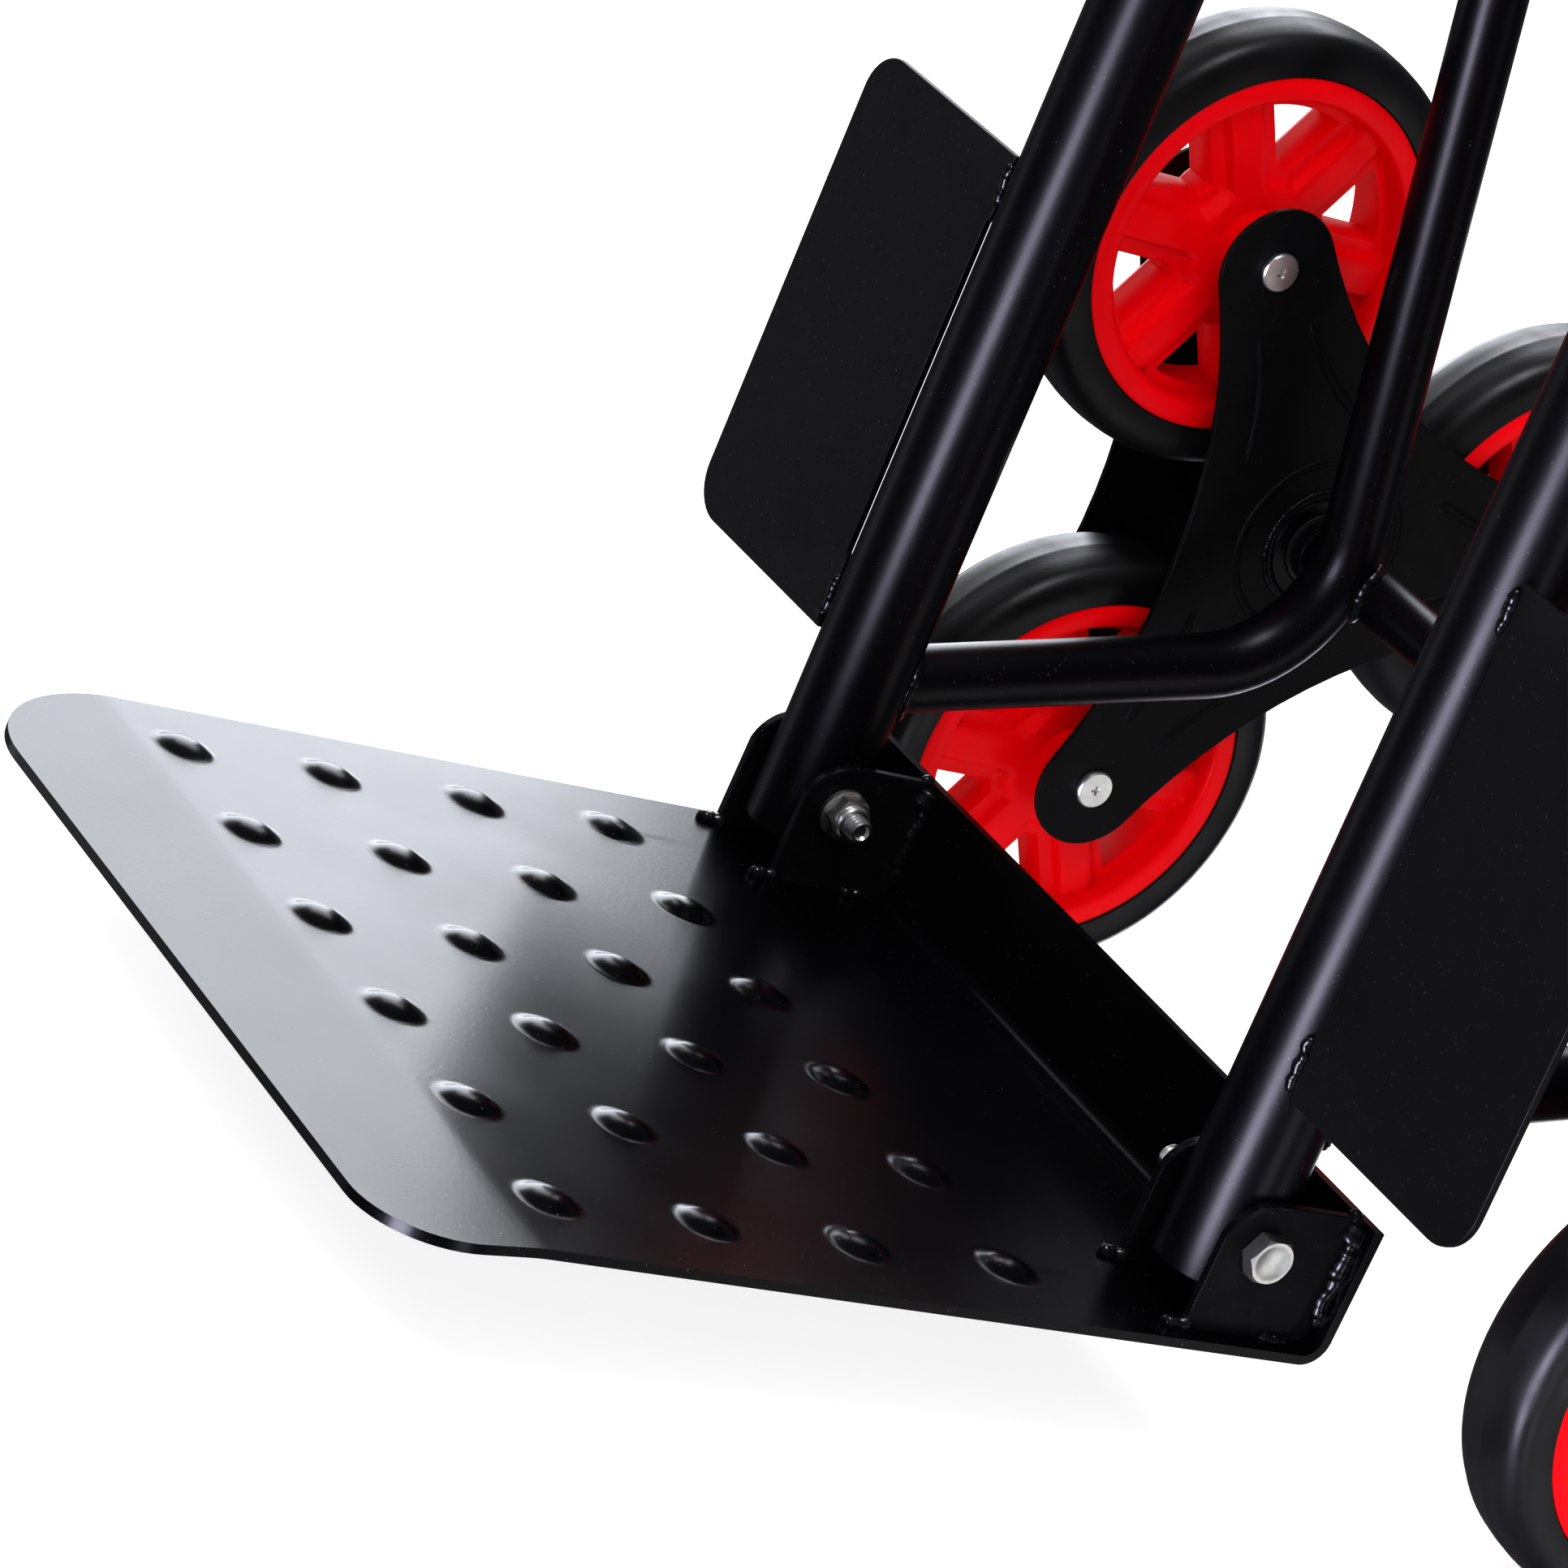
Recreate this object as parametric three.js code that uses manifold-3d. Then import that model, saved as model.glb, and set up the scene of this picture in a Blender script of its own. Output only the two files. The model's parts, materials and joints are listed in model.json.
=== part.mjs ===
// Six-wheel stair-climbing hand truck. Millimetres, +Z up, X across, +Y to the rear.
// The origin is on the underside of the toe plate, below the main tubes.
// Left is the operator's left, on +X.
import * as THREE from 'three';
import { mergeVertices } from 'three/addons/utils/BufferGeometryUtils.js';
import Module from 'manifold-3d';

const wasm = await Module();
wasm.setup();

// ---- driving dimensions
const GAP = 0.3;
const TUBE_X = 127;
const TUBE_R = 16;
const TUBE_WALL = 1.6;
const TUBE_BOTTOM = 14;
const TUBE_TOP = 850;
const HINGE_Z = 29.4;
const TOE_TILT = 1.46;
const PLATE_T = 3;
const PLATE_HALF = 152.5;
const PLATE_FRONT = -273.8;
const PLATE_TOP = -26.4;
const PLATE_CORNERS = [30, 42];
const LIP_BACK = -229;
const LIP_DROP = 3.4;
const FLANGE_BACK = 32.3;
const FLANGE_TOP = 14.3;
const BEND_IN = 5;
const DIMPLE_X = [-125, -75, -25, 25, 75, 125];
const DIMPLE_Y = [-63.4, -113.6, -163.8, -214];
const DIMPLE_R = 9;
const DIMPLE_H = 3;
const EAR_T = 3;
const EAR_FRONT = -14.5;
const EAR_R = 14.8;
const BOLT_R = 4;
const BOLT_HEX_R = 13 / Math.sqrt(3);
const BOLT_HEAD = 5.3;
const BOLT_TIP_X = 94;
const WASHER_R = 8;
const WASHER_T = 1.5;
const NUT_H = 6.8;
const AXLE_Y = 171;
const AXLE_Z = 125.8;
const AXLE_R = 6;
const AXLE_TUBE_R = 9;
const AXLE_TUBE_HALF = 149;
const AXLE_ROD_HALF = 224;
const AXLE_NUT_ACROSS = 18;
const AXLE_NUT_H = 9.4;
const SPACER_R = 11.5;
const BRACE_R = 10.5;
const BRACE_WALL = 1.5;
const BRACE_TILT = 11.8;
const BRACE_BEND = 45;
const BEND_CENTRE = [113.5, 134.3];
const BRACE_START_Y = 8;
const BRACE_END_Y = 22;
const WING_Y = -11;
const WING_T = 2.5;
const WING_OUT = 227.6;
const WING_Z = [74.3, 232.8];
const WING_TAB_X = 140.9;
const WING_RECESS_X = 142.2;
const WING_TAB_Z = [98.5, 212];
const WING_CORNER = 14;
const STAR_IN = 157;
const STAR_T = 2;
const STAR_OUT = 207.8;
const ARM = 105;
const ARM_END = 20.5;
const VALLEY = 51.5;
const END_STEPS = 8;
const SIDE_STEPS = 6;
const WHEEL_X = 183.4;
const TYRE_R = 74;
const RIM_R = 59.6;
const WHEEL_SEGS = 20;
const HUB_R = 19.5;
const HUB_IN = 155.1;
const HUB_OUT = 211.7;
const HUB_BORE = 13;
const BUSH_R = 12.6;
const CLUSTER_ANGLE = { left: 131.9, right: 124.9 };
const BAR_Z = [425, 620];
const BAR_R = 11;
const BAR_WALL = 1.5;
const CROSS_PLATE_Z = 780;
const CROSS_PLATE_HALF = 138;
const CROSS_PLATE_RISE = 30;
const CROSS_PLATE_CORNER = 10;
const CROSS_PLATE_T = 2.5;
const HANDLE_R = 12.7;
const HANDLE_WALL = 1.5;
const HANDLE_FOOT = 560;
const HANDLE_TOP = 1133;
const HANDLE_BEND = 45;
const GRIP_R = 17;
const GRIP_HALF = 72;
const COLLAR_Z = [836, 876];
const COLLAR_R = 20;
const COLLAR_GAP = 0.4;
const LUG_T = 5;
const LUG_X = [-9, 4];
const CLAMP_BOLT_R = 3;
const CLAMP_HEAD_R = 5.2;
const LEVER_X = [9.6, 19.8];
const LEVER_R = 7.5;
const LEVER_LONG = 50;
const CLAMP_Y = 27;
const CLAMP_Z = 861;

// ---- materials
const black = { color: 0x15161a, roughness: 0.38, metalness: 0.25 };
const blackFlat = { color: 0x17181b, roughness: 0.5, metalness: 0.2 };
const red = { color: 0xc4000b, roughness: 0.4, metalness: 0 };
const rubber = { color: 0x17171a, roughness: 0.72, metalness: 0 };
const zinc = { color: 0xb9bcc0, roughness: 0.3, metalness: 1 };
const plastic = { color: 0x18191b, roughness: 0.55, metalness: 0 };
const foam = { color: 0x1b1b1d, roughness: 0.9, metalness: 0 };

// ---- solids
function toSolid(geometry) {
  const bare = geometry.clone();
  bare.deleteAttribute('normal');
  bare.deleteAttribute('uv');
  const merged = mergeVertices(bare, 1e-4);
  return new wasm.Manifold(new wasm.Mesh({
    numProp: 3,
    vertProperties: new Float32Array(merged.attributes.position.array),
    triVerts: new Uint32Array(merged.index.array),
  }));
}

function toGeometry(solid) {
  const mesh = solid.getMesh();
  const geometry = new THREE.BufferGeometry();
  const position = new Float32Array(mesh.vertProperties);
  geometry.setAttribute('position', new THREE.BufferAttribute(position, 3));
  geometry.setIndex(new THREE.BufferAttribute(new Uint32Array(mesh.triVerts), 1));
  return geometry;
}

function join(first, ...others) {
  let solid = toSolid(first);
  for (const other of others) solid = solid.add(toSolid(other));
  return toGeometry(solid);
}

function cut(first, ...tools) {
  let solid = toSolid(first);
  for (const tool of tools) solid = solid.subtract(toSolid(tool));
  return toGeometry(solid);
}

function both(first, second) {
  return toGeometry(toSolid(first).intersect(toSolid(second)));
}

function piece(name, geometry, look) {
  const flat = geometry.index ? geometry.toNonIndexed() : geometry;
  flat.computeVertexNormals();
  const mesh = new THREE.Mesh(flat, new THREE.MeshStandardMaterial(look));
  mesh.name = name;
  return mesh;
}

function circle(r, cx = 0, cy = 0) {
  const shape = new THREE.Shape();
  shape.absarc(cx, cy, r, 0, Math.PI * 2, false);
  return shape;
}

function hole(r, cx = 0, cy = 0) {
  const path = new THREE.Path();
  path.absarc(cx, cy, r, 0, Math.PI * 2, true);
  return path;
}

// A round bar along X.
function barX(r, x0, x1, y, z, segs = 20) {
  const bar = new THREE.CylinderGeometry(r, r, x1 - x0, segs);
  return bar.rotateZ(-Math.PI / 2).translate((x0 + x1) / 2, y, z);
}

// A ring section drawn out along X.
function pipeX(r, bore, x0, x1, y, z, segs = 20) {
  return cut(barX(r, x0, x1, y, z, segs), barX(bore, x0 - 1, x1 + 1, y, z, segs));
}

// A round bar along Z.
function barZ(r, z0, z1, x, y, segs = 24) {
  const bar = new THREE.CylinderGeometry(r, r, z1 - z0, segs);
  return bar.rotateX(Math.PI / 2).translate(x, y, (z0 + z1) / 2);
}

// A flat outline in Y and Z, given depth along X.
function slabX(shape, x0, x1, curveSegments = 8) {
  const slab = new THREE.ExtrudeGeometry(shape, {
    depth: x1 - x0,
    bevelEnabled: false,
    curveSegments,
  });
  const turn = new THREE.Matrix4().makeBasis(
    new THREE.Vector3(0, 1, 0),
    new THREE.Vector3(0, 0, 1),
    new THREE.Vector3(1, 0, 0),
  );
  return slab.applyMatrix4(turn).translate(x0, 0, 0);
}

// A flat outline in X and Z, given depth along Y.
function slabY(shape, y0, y1, curveSegments = 8) {
  const slab = new THREE.ExtrudeGeometry(shape, {
    depth: y1 - y0,
    bevelEnabled: false,
    curveSegments,
  });
  return slab.rotateX(Math.PI / 2).translate(0, y1, 0);
}

// A path through given stations, so a bent tube gets rings only where it bends.
class StationPath extends THREE.Curve {
  constructor(points, tangents) {
    super();
    this.points = points;
    this.tangents = tangents;
  }

  at(list, u) {
    return list[Math.round(u * (list.length - 1))].clone();
  }

  getPoint(u) {
    return this.at(this.points, u);
  }

  getPointAt(u) {
    return this.at(this.points, u);
  }

  getTangent(u) {
    return this.at(this.tangents, u);
  }

  getTangentAt(u) {
    return this.at(this.tangents, u);
  }

  getSpacedPoints() {
    return this.points.map((point) => point.clone());
  }
}

function sweep(r, bore, points, tangents, curveSegments = 9) {
  const ring = circle(r);
  if (bore) ring.holes.push(hole(bore));
  return new THREE.ExtrudeGeometry(ring, {
    steps: points.length - 1,
    bevelEnabled: false,
    extrudePath: new StationPath(points, tangents),
    curveSegments,
  });
}

function arc(centre, from, to, radius, steps, place) {
  const stations = [];
  for (let i = 0; i <= steps; i += 1) {
    const a = THREE.MathUtils.degToRad(from + ((to - from) * i) / steps);
    const turn = Math.sign(to - from);
    stations.push({
      point: place(centre[0] + radius * Math.cos(a), centre[1] + radius * Math.sin(a)),
      tangent: place(-turn * Math.sin(a), turn * Math.cos(a)).sub(place(0, 0)).normalize(),
    });
  }
  return stations;
}

function hexNut(across, bore, x0, x1, y, z) {
  return cut(barX(across / Math.sqrt(3), x0, x1, y, z, 6), barX(bore, x0 - 1, x1 + 1, y, z, 20));
}

// ---- frame
function mainTube(side) {
  const ring = circle(TUBE_R);
  ring.holes.push(hole(TUBE_R - TUBE_WALL));
  const tube = new THREE.ExtrudeGeometry(ring, {
    depth: TUBE_TOP - TUBE_BOTTOM,
    bevelEnabled: false,
    curveSegments: 12,
  }).translate(TUBE_X, 0, TUBE_BOTTOM);
  const drilled = cut(tube, barX(BOLT_R + GAP, TUBE_X - TUBE_R - 1, TUBE_X + TUBE_R + 1, 0, HINGE_Z, 12));
  return mirrored(piece(`main_tube_${side}`, drilled, black), side);
}

function mirrored(mesh, side) {
  if (side === 'right') mesh.scale.x = -1;
  return mesh;
}

function brace(side) {
  const place = (y, z) => new THREE.Vector3(TUBE_X, y, z);
  const bend = arc(BEND_CENTRE, BRACE_TILT - 90, BRACE_TILT, BRACE_BEND, 5, place);
  const slope = Math.tan(THREE.MathUtils.degToRad(BRACE_TILT));
  const low = bend[0];
  const high = bend[bend.length - 1];
  const start = place(BRACE_START_Y, low.point.z - (low.point.y - BRACE_START_Y) * slope);
  const end = place(BRACE_END_Y, high.point.z + (high.point.y - BRACE_END_Y) / slope);
  const stations = [{ point: start, tangent: low.tangent }, ...bend, { point: end, tangent: high.tangent }];
  const raw = sweep(
    BRACE_R,
    BRACE_R - BRACE_WALL,
    stations.map((station) => station.point),
    stations.map((station) => station.tangent),
    7,
  );
  const fitted = cut(
    raw,
    barZ(TUBE_R + GAP, 0, TUBE_TOP, TUBE_X, 0, 24),
    barX(AXLE_TUBE_R + GAP, TUBE_X - TUBE_R, TUBE_X + TUBE_R, AXLE_Y, AXLE_Z, 20),
  );
  return mirrored(piece(`brace_${side}`, fitted, black), side);
}

function wing(side) {
  const shape = new THREE.Shape();
  const [low, high] = WING_Z;
  const [tabLow, tabHigh] = WING_TAB_Z;
  shape.moveTo(WING_TAB_X, -low);
  shape.lineTo(WING_TAB_X, -(tabLow - 3));
  shape.lineTo(WING_RECESS_X - 1, -tabLow);
  shape.lineTo(WING_RECESS_X, -(tabLow + 3));
  shape.lineTo(WING_RECESS_X, -(tabHigh - 3));
  shape.lineTo(WING_RECESS_X - 1, -tabHigh);
  shape.lineTo(WING_TAB_X, -(tabHigh + 3));
  shape.lineTo(WING_TAB_X, -high);
  shape.lineTo(WING_OUT - WING_CORNER, -high);
  shape.absarc(WING_OUT - WING_CORNER, -(high - WING_CORNER), WING_CORNER, -Math.PI / 2, 0, false);
  shape.lineTo(WING_OUT, -(low + WING_CORNER));
  shape.absarc(WING_OUT - WING_CORNER, -(low + WING_CORNER), WING_CORNER, 0, Math.PI / 2, false);
  shape.closePath();
  const sheet = new THREE.ExtrudeGeometry(shape, {
    depth: WING_T,
    bevelEnabled: false,
    curveSegments: 6,
  }).rotateX(-Math.PI / 2).translate(0, WING_Y, 0);
  return mirrored(piece(`wing_${side}`, sheet, blackFlat), side);
}

function crossBar(name, z) {
  const bar = pipeX(BAR_R, BAR_R - BAR_WALL, -TUBE_X, TUBE_X, 0, z, 16);
  const above = z + TUBE_R;
  const below = z - TUBE_R;
  const trimmed = cut(
    bar,
    barZ(TUBE_R + GAP, below, above, TUBE_X, 0, 24),
    barZ(TUBE_R + GAP, below, above, -TUBE_X, 0, 24),
  );
  return piece(name, trimmed, black);
}

function crossPlate() {
  const r = CROSS_PLATE_CORNER;
  const x = CROSS_PLATE_HALF - r;
  const z = CROSS_PLATE_RISE - r;
  const shape = new THREE.Shape();
  shape.absarc(x, -z, r, -Math.PI / 2, 0, false);
  shape.absarc(x, z, r, 0, Math.PI / 2, false);
  shape.absarc(-x, z, r, Math.PI / 2, Math.PI, false);
  shape.absarc(-x, -z, r, Math.PI, Math.PI * 1.5, false);
  const face = -TUBE_R - GAP;
  const plate = slabY(shape, face - CROSS_PLATE_T, face, 4);
  return piece('cross_plate', plate.translate(0, 0, CROSS_PLATE_Z), black);
}

function axleParts() {
  const tube = pipeX(AXLE_TUBE_R, AXLE_R + GAP, -AXLE_TUBE_HALF, AXLE_TUBE_HALF, AXLE_Y, AXLE_Z);
  const parts = [
    piece('axle_tube', tube, black),
    piece('axle_rod', barX(AXLE_R, -AXLE_ROD_HALF, AXLE_ROD_HALF, AXLE_Y, AXLE_Z), zinc),
  ];
  for (const side of ['left', 'right']) {
    const seat = HUB_OUT + 2 * GAP;
    const nut = hexNut(AXLE_NUT_ACROSS, AXLE_R + GAP, seat, seat + AXLE_NUT_H, AXLE_Y, AXLE_Z);
    const spacer = pipeX(SPACER_R, AXLE_R + GAP, AXLE_TUBE_HALF + GAP, HUB_IN - 0.5, AXLE_Y, AXLE_Z);
    parts.push(mirrored(piece(`axle_nut_${side}`, nut, zinc), side));
    parts.push(mirrored(piece(`axle_spacer_${side}`, spacer, black), side));
  }
  return parts;
}

// ---- toe plate, drawn around its hinge axis
function toePlate() {
  const back = FLANGE_BACK;
  const inner = back - PLATE_T;
  const profile = new THREE.Shape();
  profile.moveTo(PLATE_FRONT, PLATE_TOP - PLATE_T - LIP_DROP);
  profile.lineTo(LIP_BACK, PLATE_TOP - PLATE_T);
  profile.lineTo(inner - BEND_IN, PLATE_TOP - PLATE_T);
  profile.absarc(inner - BEND_IN, PLATE_TOP + BEND_IN, BEND_IN + PLATE_T, -Math.PI / 2, 0, false);
  profile.lineTo(back, FLANGE_TOP);
  profile.lineTo(inner, FLANGE_TOP);
  profile.lineTo(inner, PLATE_TOP + BEND_IN);
  profile.absarc(inner - BEND_IN, PLATE_TOP + BEND_IN, BEND_IN, 0, -Math.PI / 2, true);
  profile.lineTo(LIP_BACK, PLATE_TOP);
  profile.lineTo(PLATE_FRONT, PLATE_TOP - LIP_DROP);
  profile.closePath();
  const sheet = slabX(profile, -PLATE_HALF, PLATE_HALF, 5);
  const [rl, rr] = PLATE_CORNERS;
  const plan = new THREE.Shape();
  plan.moveTo(-PLATE_HALF - 1, 60);
  plan.lineTo(-PLATE_HALF - 1, PLATE_FRONT + rr);
  plan.lineTo(-PLATE_HALF, PLATE_FRONT + rr);
  plan.absarc(-PLATE_HALF + rr, PLATE_FRONT + rr, rr, Math.PI, Math.PI * 1.5, false);
  plan.lineTo(PLATE_HALF - rl, PLATE_FRONT);
  plan.absarc(PLATE_HALF - rl, PLATE_FRONT + rl, rl, -Math.PI / 2, 0, false);
  plan.lineTo(PLATE_HALF + 1, PLATE_FRONT + rl);
  plan.lineTo(PLATE_HALF + 1, 60);
  plan.closePath();
  const column = new THREE.ExtrudeGeometry(plan, { depth: 120, bevelEnabled: false, curveSegments: 6 });
  let solid = toSolid(both(sheet, column.translate(0, 0, -60)));
  for (const x of DIMPLE_X) {
    for (const y of DIMPLE_Y) solid = solid.add(toSolid(dimple(x, y, 0, DIMPLE_R)));
  }
  for (const x of DIMPLE_X) {
    for (const y of DIMPLE_Y) solid = solid.subtract(toSolid(dimple(x, y, -PLATE_T, DIMPLE_R - 1.5)));
  }
  return piece('toe_plate', toGeometry(solid), black);
}

// A pressed dome, or the hollow below it when it is lowered by the plate's thickness.
function dimple(x, y, lower, r) {
  const points = [
    new THREE.Vector2(0, -0.4),
    new THREE.Vector2(r, -0.4),
    new THREE.Vector2(r, 0),
    new THREE.Vector2(r * 0.6, DIMPLE_H * 0.8),
    new THREE.Vector2(0, DIMPLE_H),
  ];
  const dome = new THREE.LatheGeometry(points, 8);
  return dome.rotateX(Math.PI / 2).translate(x, y, PLATE_TOP + lower);
}

function ear(name, x0) {
  const base = PLATE_TOP + GAP;
  const rear = FLANGE_BACK - PLATE_T - GAP;
  const r = EAR_R;
  const shape = new THREE.Shape();
  shape.moveTo(EAR_FRONT, base);
  shape.lineTo(rear - BEND_IN, base);
  shape.lineTo(rear, base + BEND_IN);
  shape.lineTo(rear, r);
  shape.lineTo(0, r);
  shape.absarc(0, 0, r, Math.PI / 2, Math.PI - Math.acos(-EAR_FRONT / r), false);
  shape.closePath();
  shape.holes.push(hole(BOLT_R + GAP));
  return piece(name, slabX(shape, x0, x0 + EAR_T, 8), black);
}

function hingeBolt(side) {
  const seat = TUBE_X + TUBE_R + GAP + EAR_T + GAP;
  const bolt = join(
    barX(BOLT_HEX_R, seat, seat + BOLT_HEAD, 0, 0, 6),
    barX(BOLT_R, BOLT_TIP_X, seat + 0.5, 0, 0, 16),
  );
  return mirrored(piece(`hinge_bolt_${side}`, bolt, zinc), side);
}

function hingeNut(side) {
  const seat = TUBE_X - TUBE_R - GAP - EAR_T - GAP;
  const washer = barX(WASHER_R, seat - WASHER_T, seat, 0, 0, 20);
  const hex = barX(BOLT_HEX_R, seat - WASHER_T - NUT_H + GAP, seat - WASHER_T + GAP, 0, 0, 6);
  const nut = cut(join(washer, hex), barX(BOLT_R + 0.2, seat - 12, seat + 2, 0, 0, 16));
  return mirrored(piece(`hinge_nut_${side}`, nut, zinc), side);
}

function toeGroup() {
  const group = new THREE.Group();
  const outer = TUBE_X + TUBE_R + GAP;
  const inner = TUBE_X - TUBE_R - GAP - EAR_T;
  group.add(toePlate());
  group.add(ear('ear_outer_left', outer));
  group.add(ear('ear_inner_left', inner));
  group.add(ear('ear_inner_right', -inner - EAR_T));
  group.add(ear('ear_outer_right', -outer - EAR_T));
  for (const side of ['left', 'right']) {
    group.add(hingeBolt(side));
    group.add(hingeNut(side));
  }
  group.rotation.x = THREE.MathUtils.degToRad(-TOE_TILT);
  group.position.z = HINGE_Z;
  return group;
}

// ---- wheel clusters, drawn on the left side around the axle
function armPoint(k, angle, radial, across) {
  const a = THREE.MathUtils.degToRad(angle + 120 * k);
  return [
    radial * Math.cos(a) - across * Math.sin(a),
    radial * Math.sin(a) + across * Math.cos(a),
  ];
}

function starShape(angle) {
  const reach = ((ARM ** 2) - (VALLEY - ARM_END) ** 2) / (ARM - 2 * (VALLEY - ARM_END));
  const hollow = reach - VALLEY;
  const half = THREE.MathUtils.radToDeg(Math.atan2(reach * Math.sin(Math.PI / 3), reach / 2 - ARM));
  const points = [];
  for (let k = 0; k < 3; k += 1) {
    for (let i = 0; i <= END_STEPS; i += 1) {
      const a = THREE.MathUtils.degToRad(-half + (2 * half * i) / END_STEPS);
      points.push(armPoint(k, angle, ARM + ARM_END * Math.cos(a), ARM_END * Math.sin(a)));
    }
    for (let i = 1; i < SIDE_STEPS; i += 1) {
      const a = THREE.MathUtils.degToRad(60 + (half - 60) * (1 - (2 * i) / SIDE_STEPS));
      points.push(armPoint(
        k,
        angle,
        reach / 2 - hollow * Math.cos(a),
        reach * Math.sin(Math.PI / 3) - hollow * Math.sin(a),
      ));
    }
  }
  return new THREE.Shape(points.map(([y, z]) => new THREE.Vector2(y + AXLE_Y, z + AXLE_Z)));
}

function starPlate(name, angle, x0) {
  const x1 = x0 + STAR_T;
  const bores = [barX(HUB_R + GAP, x0 - 1, x1 + 1, AXLE_Y, AXLE_Z, 24)];
  for (let k = 0; k < 3; k += 1) {
    const [y, z] = armPoint(k, angle, ARM, 0);
    bores.push(barX(BOLT_R + GAP, x0 - 1, x1 + 1, y + AXLE_Y, z + AXLE_Z, 12));
  }
  return piece(name, cut(slabX(starShape(angle), x0, x1), ...bores), blackFlat);
}

function wheelRim() {
  const half = 15.6;
  const web = 7.4;
  const boss = 23.9;
  const outline = [
    [RIM_R, -half], [RIM_R, half], [54, half], [50, web], [16, web], [14, boss],
    [BOLT_R + GAP, boss], [BOLT_R + GAP, -boss], [14, -boss], [16, -web], [50, -web], [54, -half],
    [RIM_R, -half],
  ];
  const turned = new THREE.LatheGeometry(outline.map(([r, a]) => new THREE.Vector2(r, a)), WHEEL_SEGS);
  const windows = [];
  for (let k = 0; k < 6; k += 1) windows.push(rimWindow(30 + 60 * k));
  return cut(turned.rotateZ(-Math.PI / 2), ...windows);
}

// A window between two parallel-sided spokes.
function rimWindow(angle) {
  const spoke = 13;
  const points = [];
  for (const [r, sign] of [[29, -1], [47.5, -1], [47.5, 0], [47.5, 1], [29, 1]]) {
    const lean = THREE.MathUtils.degToRad(30) - Math.asin(spoke / r);
    const a = THREE.MathUtils.degToRad(angle) + sign * lean;
    points.push(new THREE.Vector2(r * Math.cos(a), r * Math.sin(a)));
  }
  return slabX(new THREE.Shape(points), -20, 20);
}

function tyre() {
  const outline = [
    [RIM_R + GAP, -15.4], [67.5, -15.6], [71.8, -13], [TYRE_R, -6],
    [TYRE_R, 6], [71.8, 13], [67.5, 15.6], [RIM_R + GAP, 15.4], [RIM_R + GAP, -15.4],
  ];
  const turned = new THREE.LatheGeometry(outline.map(([r, a]) => new THREE.Vector2(r, a)), WHEEL_SEGS);
  return turned.rotateZ(-Math.PI / 2);
}

function wheelBolt(y, z) {
  return join(
    barX(6.5, STAR_IN - 2.1, STAR_IN - 0.2, y, z, 20),
    barX(BOLT_R, STAR_IN - 0.5, STAR_OUT + STAR_T + 8, y, z, 12),
    barX(BOLT_HEX_R, STAR_OUT + STAR_T + 0.2, STAR_OUT + STAR_T + 6.7, y, z, 6),
  );
}

function cluster(side) {
  const angle = CLUSTER_ANGLE[side];
  const group = new THREE.Group();
  group.add(starPlate(`star_inner_${side}`, angle, STAR_IN));
  group.add(starPlate(`star_outer_${side}`, angle, STAR_OUT));
  const sleeve = pipeX(HUB_R, HUB_BORE, HUB_IN, HUB_OUT, AXLE_Y, AXLE_Z, 24);
  group.add(piece(`hub_sleeve_${side}`, sleeve, blackFlat));
  const bush = pipeX(BUSH_R, AXLE_R + GAP, HUB_IN - 0.2, HUB_OUT + 0.2, AXLE_Y, AXLE_Z, 24);
  group.add(piece(`hub_bush_${side}`, bush, plastic));
  for (let k = 0; k < 3; k += 1) {
    const [dy, dz] = armPoint(k, angle, ARM, 0);
    const [y, z] = [AXLE_Y + dy, AXLE_Z + dz];
    const tag = `${side}_${k + 1}`;
    group.add(piece(`rim_${tag}`, wheelRim().translate(WHEEL_X, y, z), red));
    group.add(piece(`tyre_${tag}`, tyre().translate(WHEEL_X, y, z), rubber));
    group.add(piece(`wheel_bolt_${tag}`, wheelBolt(y, z), zinc));
  }
  if (side === 'right') group.scale.x = -1;
  return group;
}

// ---- handle and clamps
function handleLoop() {
  const place = (x, z) => new THREE.Vector3(x, 0, z);
  const lift = HANDLE_TOP - HANDLE_BEND;
  const across = TUBE_X - HANDLE_BEND;
  const first = arc([-across, lift], 180, 90, HANDLE_BEND, 5, place);
  const second = arc([across, lift], 90, 0, HANDLE_BEND, 5, place);
  const stations = [
    { point: place(-TUBE_X, HANDLE_FOOT), tangent: new THREE.Vector3(0, 0, 1) },
    ...first,
    ...second,
    { point: place(TUBE_X, HANDLE_FOOT), tangent: new THREE.Vector3(0, 0, -1) },
  ];
  const loop = sweep(
    HANDLE_R,
    HANDLE_R - HANDLE_WALL,
    stations.map((station) => station.point),
    stations.map((station) => station.tangent),
    7,
  );
  return piece('handle_loop', loop, black);
}

function handleGrip() {
  const grip = pipeX(GRIP_R, HANDLE_R + GAP, -GRIP_HALF, GRIP_HALF, 0, HANDLE_TOP, 24);
  return piece('handle_grip', grip, foam);
}

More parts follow.
